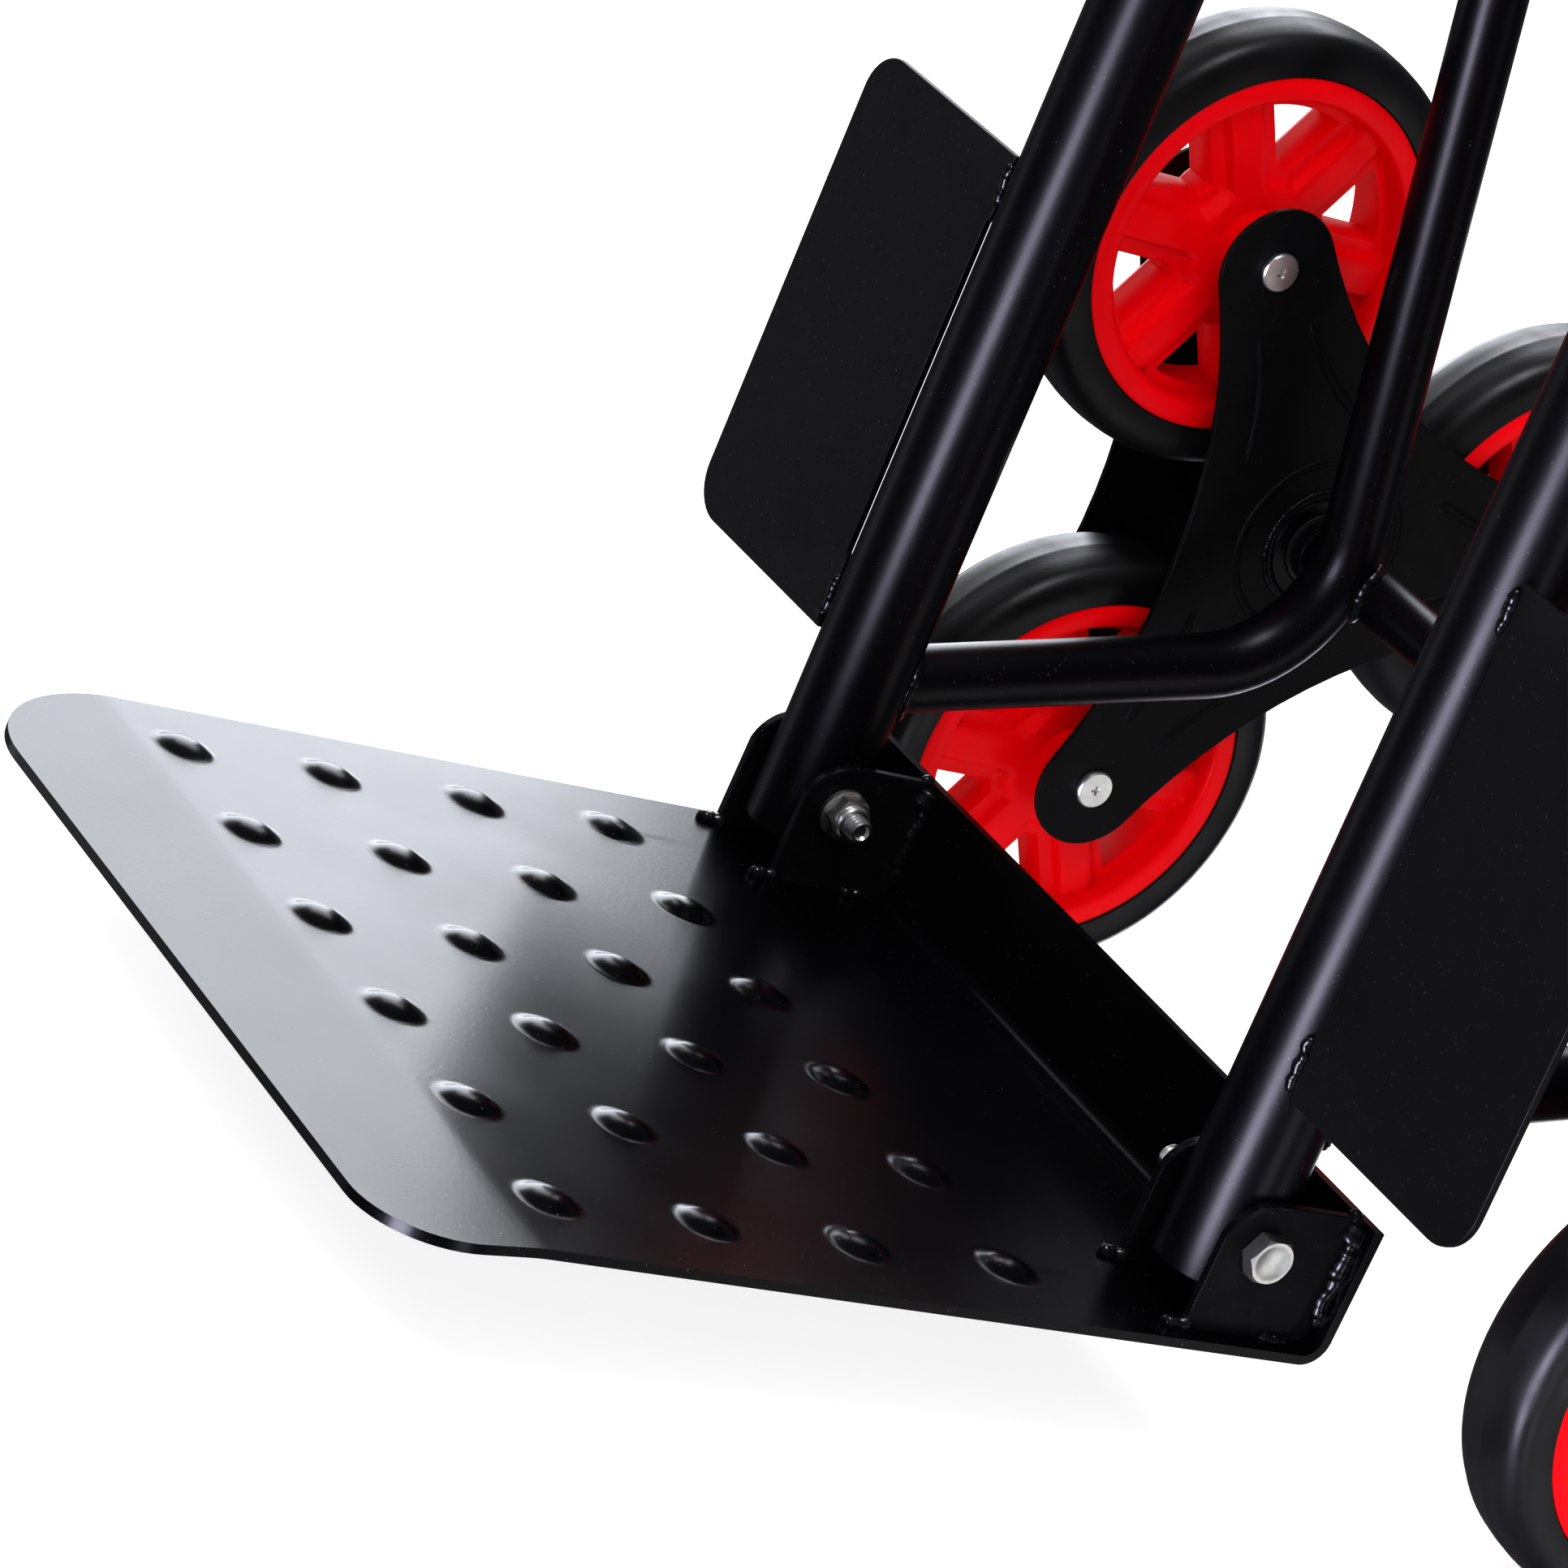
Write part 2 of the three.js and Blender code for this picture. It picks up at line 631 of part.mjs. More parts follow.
function collar(side) {
  const [low, high] = COLLAR_Z;
  const seat = TUBE_TOP + GAP;
  const bore = HANDLE_R + COLLAR_GAP;
  const outline = [
    [TUBE_R + GAP, low], [COLLAR_R - 1, low], [COLLAR_R, low + 4], [COLLAR_R, high - 5],
    [COLLAR_R - 2, high], [bore, high], [bore, seat], [TUBE_R + GAP, seat], [TUBE_R + GAP, low],
  ];
  const turned = new THREE.LatheGeometry(outline.map(([r, a]) => new THREE.Vector2(r, a)), 24);
  const ring = turned.rotateX(Math.PI / 2).translate(TUBE_X, 0, 0);
  const drill = barX(CLAMP_BOLT_R + GAP, TUBE_X - 12, TUBE_X + 12, CLAMP_Y, CLAMP_Z, 12);
  const body = cut(
    join(ring, ...LUG_X.map((x) => lug(TUBE_X + x))),
    barZ(bore, seat, high + 1, TUBE_X, 0, 24),
    barZ(TUBE_R + GAP, low - 1, seat, TUBE_X, 0, 24),
    drill,
  );
  return mirrored(piece(`collar_${side}`, body, plastic), side);
}

function lug(x0) {
  const shape = new THREE.Shape();
  shape.moveTo(14, CLAMP_Z - 11);
  shape.lineTo(CLAMP_Y, CLAMP_Z - 8);
  shape.absarc(CLAMP_Y, CLAMP_Z, 8, -Math.PI / 2, Math.PI / 2, false);
  shape.lineTo(14, CLAMP_Z + 11);
  shape.closePath();
  return slabX(shape, x0, x0 + LUG_T, 6);
}

function clampBolt(side) {
  const bolt = join(
    barX(CLAMP_BOLT_R, TUBE_X - 13, TUBE_X + 23, CLAMP_Y, CLAMP_Z, 12),
    barX(CLAMP_HEAD_R, TUBE_X - 13.3, TUBE_X - 9.3, CLAMP_Y, CLAMP_Z, 16),
    barX(CLAMP_HEAD_R, TUBE_X + 20.3, TUBE_X + 23.3, CLAMP_Y, CLAMP_Z, 16),
  );
  return mirrored(piece(`clamp_bolt_${side}`, bolt, zinc), side);
}

function clampLever(side) {
  const shape = new THREE.Shape();
  shape.absarc(CLAMP_Y, CLAMP_Z, LEVER_R, -0.35, Math.PI + 0.35, false);
  shape.absarc(CLAMP_Y, CLAMP_Z - LEVER_LONG, LEVER_R - 2.5, Math.PI, Math.PI * 2, false);
  shape.closePath();
  shape.holes.push(hole(CLAMP_BOLT_R + 0.2, CLAMP_Y, CLAMP_Z));
  const lever = slabX(shape, TUBE_X + LEVER_X[0], TUBE_X + LEVER_X[1], 8);
  return mirrored(piece(`clamp_lever_${side}`, lever, plastic), side);
}

// ---- assembly
const group = new THREE.Group();
for (const side of ['left', 'right']) {
  group.add(mainTube(side));
  group.add(brace(side));
  group.add(wing(side));
  group.add(collar(side));
  group.add(clampBolt(side));
  group.add(clampLever(side));
}
group.add(crossBar('cross_bar_lower', BAR_Z[0]));
group.add(crossBar('cross_bar_upper', BAR_Z[1]));
group.add(crossPlate());
group.add(...axleParts());
group.add(toeGroup());
group.add(cluster('left'));
group.add(cluster('right'));
group.add(handleLoop());
group.add(handleGrip());

export default group;
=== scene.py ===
"""Six-wheel stair-climbing hand truck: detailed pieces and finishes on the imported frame."""
import json
import math

import bmesh
import bpy
from mathutils import Matrix, Vector, noise


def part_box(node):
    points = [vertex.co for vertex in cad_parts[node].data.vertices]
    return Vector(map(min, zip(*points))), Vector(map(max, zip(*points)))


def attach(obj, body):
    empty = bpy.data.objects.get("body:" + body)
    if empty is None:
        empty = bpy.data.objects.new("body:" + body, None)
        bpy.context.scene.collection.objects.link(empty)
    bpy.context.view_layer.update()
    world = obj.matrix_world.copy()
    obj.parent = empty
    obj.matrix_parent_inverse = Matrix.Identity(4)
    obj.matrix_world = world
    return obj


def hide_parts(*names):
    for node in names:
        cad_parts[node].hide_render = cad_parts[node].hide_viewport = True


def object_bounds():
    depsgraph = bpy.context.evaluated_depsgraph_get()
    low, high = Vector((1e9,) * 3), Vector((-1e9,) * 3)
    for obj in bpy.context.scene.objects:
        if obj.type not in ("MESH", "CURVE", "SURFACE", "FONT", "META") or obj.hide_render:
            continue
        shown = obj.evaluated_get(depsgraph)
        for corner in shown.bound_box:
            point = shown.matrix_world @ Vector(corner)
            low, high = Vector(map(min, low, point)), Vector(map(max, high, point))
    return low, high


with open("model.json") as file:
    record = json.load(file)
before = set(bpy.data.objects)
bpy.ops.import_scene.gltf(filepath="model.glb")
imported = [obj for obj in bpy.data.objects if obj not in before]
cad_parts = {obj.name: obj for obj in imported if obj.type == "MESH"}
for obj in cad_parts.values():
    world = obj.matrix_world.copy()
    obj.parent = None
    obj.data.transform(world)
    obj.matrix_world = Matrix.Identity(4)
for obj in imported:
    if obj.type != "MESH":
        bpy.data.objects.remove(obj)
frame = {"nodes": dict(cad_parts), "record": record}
CAD_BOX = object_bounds()

MM = 0.001
SIDES = {"left": 1, "right": -1}

# ---- places taken from the frame, in millimetres
JOINTS = {joint["name"]: joint for joint in frame["record"]["behaviour"]["joints"]}
MOUNTS = {mount["name"]: mount for mount in frame["record"]["mounts"]}


def joint_place(name):
    return Vector(JOINTS[name]["pos_m"]) / MM


def size_of(node):
    low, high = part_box(node)
    return Vector(low) / MM, Vector(high) / MM


AXLE = joint_place("cluster_left_turn")
HINGE = joint_place("toe_plate_fold")
TUBE_LOW, TUBE_HIGH = size_of("main_tube_left")
TUBE_X = (TUBE_LOW.x + TUBE_HIGH.x) / 2
TUBE_R = (TUBE_HIGH.x - TUBE_LOW.x) / 2
SOLE = Vector(MOUNTS["sole"]["axis"])
# how the toe plate, drawn level around its hinge, sits at rest
TOE_TURN = Matrix.Translation(HINGE * MM) @ Matrix.Rotation(-math.atan2(-SOLE.y, -SOLE.z), 4, "X")

# ---- sizes of the finished pieces, in millimetres
PLATE_T = 3
PLATE_HALF = 152.4
PLATE_FRONT = -273.7
PLATE_TOP = -26.4
PLATE_CORNERS = {"left": 28, "right": 44}
PLATE_BEND = 6.5
LIP_BACK = -229
LIP_DROP = 3.4
LIP_SOFT = 3
FLANGE_MID = 30.8
FLANGE_TOP = 14.2
DIMPLE_R = 9.2
DIMPLE_H = 2.8
DIMPLE_CROWN = 2.6
DIMPLE_SKIRT = 1.4
DIMPLE_X = [-125 + 50 * i for i in range(6)]
DIMPLE_Y = [-63.4 - 50.2 * i for i in range(4)]
EAR_R = 14.8
EAR_FRONT = -14.5
TUBE_WALL = 1.6
BRACE_R = 10.5
BRACE_TILT = math.radians(11.8)
BRACE_BEND = 45
BRACE_CENTRE = Vector((TUBE_X, 113.5, 134.3))
BRACE_FOOT_Y = 13.2
BRACE_HEAD_Y = 22.5
AXLE_TUBE_R = 9
AXLE_BORE = 6.3
AXLE_THREAD_X = 212
AXLE_ROD_R = 6
AXLE_HEX = 18
SPACER_R = 11.4
BOLT_R = 4
BOLT_HEX = 13
BOLT_HEAD = 5.3
NUT_BORE = 4.1
WING_STEP = 1.5
ARM = 105
ARM_END = 20.5
VALLEY = 51.5
RIB_START = 84
RIB_LENGTH = 44
RIB_CIRCLE = 30
HUB_R = 19.5
HUB_BORE = 13
TYRE_R = 74
RIM_R = 59.5
RIM_HALF = 15.5
BOSS_HALF = 23.7
WEB_HALF = 7.4
WEB_OUT = 51
WEB_IN = 14
SPOKE_HALF = 12.5
WINDOW_IN = 28.5
WINDOW_OUT = 47.5
SPOKE_RISE = 3.8
HANDLE_R = 12.7
HANDLE_BEND = 45
HANDLE_WALL = 1.5
GRIP_RIBS = 30

# weld beads, as shares of the bead's radius
WELD_STEP = 0.22
WELD_RIPPLE = 0.10
WELD_PITCH = 1.3
WELD_ROUGH = 0.36


# ---- materials
NOISE_LOW = 0.3
NOISE_HIGH = 0.7


def node_material(name, base, roughness, metallic=0.0, specular=0.5):
    made = bpy.data.materials.new(name)
    made.use_nodes = True
    shader = made.node_tree.nodes["Principled BSDF"]
    shader.inputs["Base Color"].default_value = (*base, 1)
    shader.inputs["Roughness"].default_value = roughness
    shader.inputs["Metallic"].default_value = metallic
    shader.inputs["Specular IOR Level"].default_value = specular
    return made, shader


def add(made, kind, **values):
    node = made.node_tree.nodes.new(kind)
    for key, value in values.items():
        if key in node.inputs:
            node.inputs[key].default_value = value
        else:
            setattr(node, key, value)
    return node


def noise_at(made, scale, detail=2.0, stretch=(1, 1, 1)):
    """A noise texture over the piece's own coordinates, with its features about 1/scale metres wide."""
    place = add(made, "ShaderNodeTexCoord")
    turn = add(made, "ShaderNodeMapping")
    turn.inputs["Scale"].default_value = stretch
    texture = add(made, "ShaderNodeTexNoise", Scale=scale, Detail=detail)
    made.node_tree.links.new(place.outputs["Object"], turn.inputs["Vector"])
    made.node_tree.links.new(turn.outputs["Vector"], texture.inputs["Vector"])
    return texture.outputs["Fac"]


def ramp(made, source, stops):
    node = add(made, "ShaderNodeValToRGB")
    while len(node.color_ramp.elements) < len(stops):
        node.color_ramp.elements.new(0.5)
    for element, (position, colour) in zip(node.color_ramp.elements, stops):
        element.position = position
        element.color = (*colour, 1)
    made.node_tree.links.new(source, node.inputs["Fac"])
    return node.outputs["Color"]


def mix(made, factor, first, second, blend="MIX"):
    node = add(made, "ShaderNodeMix", data_type="RGBA", blend_type=blend)
    colours = ((node.inputs[6], first), (node.inputs[7], second))
    for socket, value in ((node.inputs["Factor"], factor), *colours):
        if hasattr(value, "is_linked"):
            made.node_tree.links.new(value, socket)
        else:
            socket.default_value = value
    return node.outputs[2]


def spread(made, source, low, high):
    node = add(made, "ShaderNodeMapRange")
    node.inputs["From Min"].default_value = NOISE_LOW
    node.inputs["From Max"].default_value = NOISE_HIGH
    node.inputs["To Min"].default_value = low
    node.inputs["To Max"].default_value = high
    made.node_tree.links.new(source, node.inputs["Value"])
    return node.outputs["Result"]


def bump(made, shader, layers):
    """Stacks bump layers, each a height source, a strength and a depth in metres."""
    normal = None
    for source, strength, depth in layers:
        node = add(made, "ShaderNodeBump", Strength=strength, Distance=depth)
        made.node_tree.links.new(source, node.inputs["Height"])
        if normal:
            made.node_tree.links.new(normal, node.inputs["Normal"])
        normal = node.outputs["Normal"]
    made.node_tree.links.new(normal, shader.inputs["Normal"])


def finish_coat(name, dark, light, rough, peel, specular, specks=0.08, wear=0.02):
    """Sprayed and baked black paint: orange peel, uneven gloss, a little dust and paler edges."""
    made, shader = node_material(name, dark, rough, specular=specular)
    links = made.node_tree.links
    cloud = ramp(made, noise_at(made, 9, 4), [(0.35, dark), (0.7, light)])
    dust = ramp(made, noise_at(made, 1400, 0), [(0.82, (0, 0, 0)), (0.86, (1, 1, 1))])
    dusty = mix(made, dust, cloud, (specks, specks, specks * 1.05, 1))
    shape = add(made, "ShaderNodeNewGeometry")
    edge = ramp(made, shape.outputs["Pointiness"], [(0.53, (0, 0, 0)), (0.62, (1, 1, 1))])
    scratched = mix(made, noise_at(made, 160, 3), edge, (0, 0, 0, 1), "MULTIPLY")
    worn = mix(made, scratched, dusty, (wear, wear, wear * 1.1, 1))
    links.new(worn, shader.inputs["Base Color"])
    links.new(spread(made, noise_at(made, 22, 2), rough - 0.02, rough + 0.02), shader.inputs["Roughness"])
    bump(made, shader, [(noise_at(made, 620, 2), peel, 0.00012), (noise_at(made, 40, 1), 0.04, 0.0004)])
    return made


def even_finish(name, base, rough, tint, gloss, grain, metallic=0.0):
    """tint and gloss give a noise scale, its detail and both ends, grain its strength and depth."""
    made, shader = node_material(name, base, rough, metallic)
    links = made.node_tree.links
    scale, detail, dark, light = tint
    colour = ramp(made, noise_at(made, scale, detail), [(NOISE_LOW, dark), (NOISE_HIGH, light)])
    links.new(colour, shader.inputs["Base Color"])
    scale, detail, low, high = gloss
    links.new(spread(made, noise_at(made, scale, detail), low, high), shader.inputs["Roughness"])
    scale, detail, strength, depth = grain
    bump(made, shader, [(noise_at(made, scale, detail), strength, depth)])
    return made


def red_plastic():
    made, shader = node_material("red_plastic", (0.83, 0.0, 0.006), 0.42, specular=0.1)
    links = made.node_tree.links
    tint = ramp(made, noise_at(made, 30, 3), [(0.3, (0.79, 0.0, 0.004)), (0.7, (0.88, 0.0, 0.008))])
    scuff = ramp(made, noise_at(made, 180, 5, (1, 3, 0.4)), [(0.70, (0, 0, 0)), (0.80, (1, 1, 1))])
    scuffed = mix(made, scuff, tint, (0.74, 0.014, 0.018, 1))
    links.new(scuffed, shader.inputs["Base Color"])
    links.new(spread(made, noise_at(made, 70, 3), 0.30, 0.42), shader.inputs["Roughness"])
    bump(made, shader, [(noise_at(made, 900, 2), 0.12, 0.0001)])
    return made


def tyre_rubber():
    made, shader = node_material("tyre_rubber", (0.005, 0.005, 0.0055), 0.42, specular=0.4)
    links = made.node_tree.links
    tint = ramp(made, noise_at(made, 40, 5), [(0.35, (0.004, 0.004, 0.0045)), (0.75, (0.008, 0.008, 0.009))])
    scuff = ramp(made, noise_at(made, 120, 6, (3, 0.5, 0.5)), [(0.66, (0, 0, 0)), (0.78, (1, 1, 1))])
    scuffed = mix(made, scuff, tint, (0.016, 0.016, 0.017, 1))
    links.new(scuffed, shader.inputs["Base Color"])
    links.new(spread(made, noise_at(made, 60, 5), 0.34, 0.52), shader.inputs["Roughness"])
    bump(made, shader, [(noise_at(made, 700, 3), 0.22, 0.00015), (noise_at(made, 60, 3), 0.12, 0.0005)])
    return made


COAT = finish_coat("black_powder_coat", (0.0012, 0.0012, 0.0020), (0.002, 0.002, 0.003), 0.34, 0.2,
                   specular=0.2)
PLATE = finish_coat("plate_powder_coat", (0.0008, 0.0008, 0.0012), (0.0016, 0.0016, 0.0024), 0.25, 0.12,
                    specular=0.18, wear=0.003)
EAR = finish_coat("hinge_powder_coat", (0.0010, 0.0010, 0.0016), (0.002, 0.002, 0.003), 0.3, 0.2,
                  specular=0.06)
MATTE = finish_coat("matte_black_coat", (0.0015, 0.0015, 0.0018), (0.0026, 0.0026, 0.003), 0.5, 0.2,
                    specular=0.16)
WELD = finish_coat("painted_weld", (0.0015, 0.0015, 0.002), (0.0025, 0.0025, 0.003), 0.26, 0.2,
                   specular=0.4)
ZINC = even_finish(
    "zinc_plated_steel", (0.75, 0.75, 0.73), 0.33, metallic=1.0, gloss=(420, 3, 0.30, 0.38),
    tint=(260, 3, (0.70, 0.70, 0.69), (0.86, 0.86, 0.83)), grain=(900, 2, 0.10, 0.00003))
RED = red_plastic()
RUBBER = tyre_rubber()
PLASTIC = even_finish(
    "black_plastic", (0.012, 0.012, 0.013), 0.5, gloss=(90, 3, 0.44, 0.58),
    tint=(50, 3, (0.010, 0.010, 0.011), (0.018, 0.018, 0.019)), grain=(1300, 2, 0.5, 0.0001))
FOAM = even_finish(
    "grip_rubber", (0.012, 0.012, 0.013), 0.85, gloss=(300, 2, 0.75, 0.95),
    tint=(900, 4, (0.006, 0.006, 0.006), (0.026, 0.026, 0.027)), grain=(1400, 3, 0.8, 0.0003))


# ---- mesh tools, in millimetres
def skin(bm, one, two):
    """Faces between two rings that have the same number of points."""
    for i in range(len(one)):
        j = (i + 1) % len(one)
        bm.faces.new((one[i], one[j], two[j], two[i]))


def loft(rings, closed=False, caps=True):
    """Joins rings that have the same number of points. A closed loft runs back to its first ring."""
    bm = bmesh.new()
    loops = [[bm.verts.new(point) for point in ring] for ring in rings]
    pairs = list(zip(loops, loops[1:]))
    if closed:
        pairs.append((loops[-1], loops[0]))
    for one, two in pairs:
        skin(bm, one, two)
    if caps and not closed:
        bm.faces.new(loops[0])
        bm.faces.new(loops[-1])
    return tidy(bm)


def tidy(bm):
    bmesh.ops.remove_doubles(bm, verts=bm.verts, dist=0.0005)
    bmesh.ops.recalc_face_normals(bm, faces=bm.faces)
    return bm


def make(name, bm, material, bevel=0.0, angle=40):
    """A shown object from a mesh in millimetres, with its sharp edges rounded off by bevel."""
    bmesh.ops.scale(bm, vec=(MM, MM, MM), verts=bm.verts)
    mesh = bpy.data.meshes.new(name)
    bm.to_mesh(mesh)
    bm.free()
    mesh.materials.append(material)
    mesh.shade_smooth()
    mesh.set_sharp_from_angle(angle=math.radians(angle))
    return show(name, mesh, bevel, angle)


def show(name, mesh, bevel=0.0, angle=40):
    made = bpy.data.objects.new(name, mesh)
    bpy.context.scene.collection.objects.link(made)
    if bevel:
        round_edges(made, bevel, 2, angle).harden_normals = True
    return made


def round_edges(made, bevel, segments, angle):
    rounding = made.modifiers.new("rounding", "BEVEL")
    rounding.width = bevel * MM
    rounding.segments = segments
    rounding.limit_method = "ANGLE"
    rounding.angle_limit = math.radians(angle)
    return rounding


def fit(made, body, *nodes):
    """The piece rides on a body and stands in for these CAD nodes, which it hides."""
    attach(made, body)
    if nodes:
        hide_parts(*nodes)
    return made


def round_ring(x, radius, centre, count):
    ring = []
    for i in range(count):
        a = 2 * math.pi * i / count
        ring.append(Vector((x, centre[1] + radius * math.cos(a), centre[2] + radius * math.sin(a))))
    return ring


def turned(profile, centre=(0, 0, 0), count=64, closed=True):
    """A body turned round a line along X, from (x, radius) pairs."""
    rings = [round_ring(x, max(radius, 0.001), centre, count) for x, radius in profile]
    return loft(rings, closed)


def swept(path, radius, bore=0.0, count=40):
    """A tube along (point, tangent, normal) stations, with an open bore if it is given."""
    def rings(size):
        for point, tangent, normal in path:
            side = tangent.cross(normal).normalized()
            yield [
                point + size * (math.cos(a) * normal + math.sin(a) * side)
                for a in (2 * math.pi * i / count for i in range(count))
            ]
    outer = list(rings(radius))
    if not bore:
        return loft(outer)
    return loft(outer + list(rings(bore))[::-1], closed=True)


def bend_path(centre, radius, start, stop, across, steps=14):
    """Stations on an arc in the plane of Z and the horizontal direction that across gives."""
    flat = Vector((0, 0, 1)).cross(across)
    stations = []
    for i in range(steps + 1):
        a = start + (stop - start) * i / steps
        out = math.cos(a) * flat + math.sin(a) * Vector((0, 0, 1))
        tangent = math.copysign(1, stop - start) * (math.cos(a) * Vector((0, 0, 1)) - math.sin(a) * flat)
        stations.append((centre + radius * out, tangent, across))
    return stations


def sheet(outline, plane, low, high):
    """A flat outline given depth. plane turns (u, v, depth) into a point."""
    bm = bmesh.new()
    back = [bm.verts.new(plane(u, v, low)) for u, v in outline]
    front = [bm.verts.new(plane(u, v, high)) for u, v in outline]
    bm.faces.new(back)
    bm.faces.new(front)
    skin(bm, back, front)
    return tidy(bm)


def in_yz(u, v, depth):
    return Vector((depth, u, v))


def in_xz(u, v, depth):
    return Vector((u, depth, v))


def arc(cu, cv, radius, start, stop, steps=10):
    points = []
    for i in range(steps + 1):
        a = math.radians(start + (stop - start) * i / steps)
        points.append((cu + radius * math.cos(a), cv + radius * math.sin(a)))
    return points


def resample(points, step):
    """Points at an even spacing along a polyline."""
    done = [points[0]]
    carry = 0.0
    for one, two in zip(points, points[1:]):
        length = (two - one).length
        at = step - carry
        while at <= length:
            done.append(one.lerp(two, at / length))
            at += step
        carry = length - (at - step)
    return done


def bead(name, points, radius, body, seed=0, closed=False, turn=None):
    """A painted weld along points: overlapping ripples, an uneven width and blunt ends."""
    route = [Vector(p) for p in points] + ([Vector(points[0])] if closed else [])
    route = resample(route, radius * WELD_STEP)
    if closed:
        route = route[:-1]
    count = len(route)
    rings = []
    for k, point in enumerate(route):
        ahead = route[(k + 1) % count] if closed or k < count - 1 else point
        behind = route[k - 1] if closed or k > 0 else point
        tangent = (ahead - behind).normalized()
        normal = tangent.orthogonal() if k == 0 else normal - normal.dot(tangent) * tangent
        normal.normalize()
        side = tangent.cross(normal)
        length = k * radius * WELD_STEP
        ripple = 0.92 + WELD_RIPPLE * abs(math.sin(math.pi * length / (radius * WELD_PITCH)))
        inward = min(k, count - 1 - k) / max(1, 0.16 * count)
        ends = 1.0 if closed else min(1.0, 0.35 + 0.65 * math.sqrt(inward))
        ring = []
        for i in range(12):
            a = 2 * math.pi * i / 12
            out = math.cos(a) * normal + math.sin(a) * side
            rough = noise.noise((point + out * radius) / (radius * 1.9) + Vector((seed * 7.3, 0, 0)))
            ring.append(point + out * radius * ends * (ripple + WELD_ROUGH * rough))
        rings.append(ring)
    made = make(name, loft(rings, closed), WELD, angle=80)
    if turn:
        made.matrix_world = turn
    return fit(made, body)


def mirrored(point, side):
    return Vector((SIDES[side] * point[0], point[1], point[2]))


# ---- frame
def main_tube(side):
    x = SIDES[side] * TUBE_X
    up = Vector((0, 0, 1))
    path = [(Vector((x, 0, z)), up, Vector((1, 0, 0))) for z in (TUBE_LOW.z, 60, 250, 500, TUBE_HIGH.z)]
    tube = make(f"main_tube_{side}_coated", swept(path, TUBE_R, TUBE_R - TUBE_WALL, 72), COAT, bevel=0.5)
    fit(tube, "frame", f"main_tube_{side}")


def brace_path(side):
    x = SIDES[side] * TUBE_X
    centre = Vector((x, BRACE_CENTRE.y, BRACE_CENTRE.z))
    bend = bend_path(centre, BRACE_BEND, BRACE_TILT - math.pi / 2, BRACE_TILT, Vector((1, 0, 0)))
    low, high = bend[0], bend[-1]
    reach = (low[0].y - BRACE_FOOT_Y) / low[1].y
    start = (low[0] - reach * low[1], low[1], low[2])
    reach = (high[0].y - BRACE_HEAD_Y) / -high[1].y
    end = (high[0] + reach * high[1], high[1], high[2])
    return [start, *bend, end]


def brace(side):
    path = brace_path(side)
    made = make(f"brace_{side}_coated", swept(path, BRACE_R, count=56), COAT, bevel=1.4)
    fit(made, "frame", f"brace_{side}")
    brace_welds(side, path)


def brace_welds(side, path):
    x = SIDES[side] * TUBE_X
    for name, (point, tangent, normal) in (("foot", path[0]), ("head", path[-1])):
        across = tangent.cross(normal).normalized()
        loop = []
        for i in range(48):
            a = 2 * math.pi * i / 48
            start = point + BRACE_R * (math.cos(a) * normal + math.sin(a) * across)
            root = math.sqrt(max(TUBE_R ** 2 - (start.x - x) ** 2, 0))
            travel = (root - start.y) / tangent.y
            travel = min(travel, 0) if name == "head" else travel
            loop.append(start + travel * tangent)
        if name == "head":
            loop = [p for p in loop if p.y < point.y + 2]
            loop.sort(key=lambda p: math.atan2(p.x - x, -(p.z - point.z) - 200))
            bead(f"weld_brace_head_{side}", loop, 2.2, "frame", 3)
        else:
            bead(f"weld_brace_foot_{side}", loop, 2.3, "frame", 5, closed=True)
    ring = []
    for part in (1, -1):
        half = []
        for i in range(61):
            a = math.radians(120 + 6 * i)
            y = AXLE.y + (AXLE_TUBE_R + 0.2) * math.cos(a)
            z = AXLE.z + (AXLE_TUBE_R + 0.2) * math.sin(a)
            off = math.hypot(y - BRACE_CENTRE.y, z - BRACE_CENTRE.z) - BRACE_BEND
            if abs(off) < BRACE_R:
                half.append(Vector((x + part * math.sqrt(BRACE_R ** 2 - off ** 2), y, z)))
        half.sort(key=lambda p: math.atan2(p.z - AXLE.z, p.y - AXLE.y) % (2 * math.pi))
        ring += half if part == 1 else half[::-1]
    bead(f"weld_axle_{side}", ring, 2.4, "frame", 8, closed=True)
    spot = Vector((x + SIDES[side] * -3, 148.6, 137.5 + 48))
    bead(f"weld_spot_{side}", [spot + Vector((0, 0.4 * i, -1.2 * i)) for i in range(6)], 1.7, "frame", 11)


def axle():
    half = size_of("axle_tube")[1].x
    profile = [(-half, AXLE_BORE), (-half, AXLE_TUBE_R), (half, AXLE_TUBE_R), (half, AXLE_BORE)]
    tube = turned(profile, AXLE, 56)
    fit(make("axle_tube_coated", tube, COAT, bevel=0.4), "frame", "axle_tube")
    end = size_of("axle_rod")[1].x
    rod = [(-end, 0), (-end, AXLE_ROD_R - 1)] + threads(-end, -AXLE_THREAD_X, AXLE_ROD_R)
    rod += threads(AXLE_THREAD_X, end, AXLE_ROD_R) + [(end, AXLE_ROD_R - 1), (end, 0)]
    fit(make("axle_rod_threaded", turned(rod, AXLE, 48, closed=False), ZINC), "frame", "axle_rod")
    for side in SIDES:
        low, high = size_of(f"axle_nut_{side}")
        nut = hex_nut(AXLE_HEX, AXLE_ROD_R + 0.2, low.x, high.x, AXLE)
        fit(make(f"axle_nut_{side}_chamfered", nut, ZINC, angle=30), "frame", f"axle_nut_{side}")
        low, high = size_of(f"axle_spacer_{side}")
        profile = [(low.x, AXLE_BORE), (low.x, SPACER_R), (high.x, SPACER_R), (high.x, AXLE_BORE)]
        ring = turned(profile, AXLE, 56)
        fit(make(f"axle_spacer_{side}_turned", ring, COAT, bevel=0.5), "frame", f"axle_spacer_{side}")


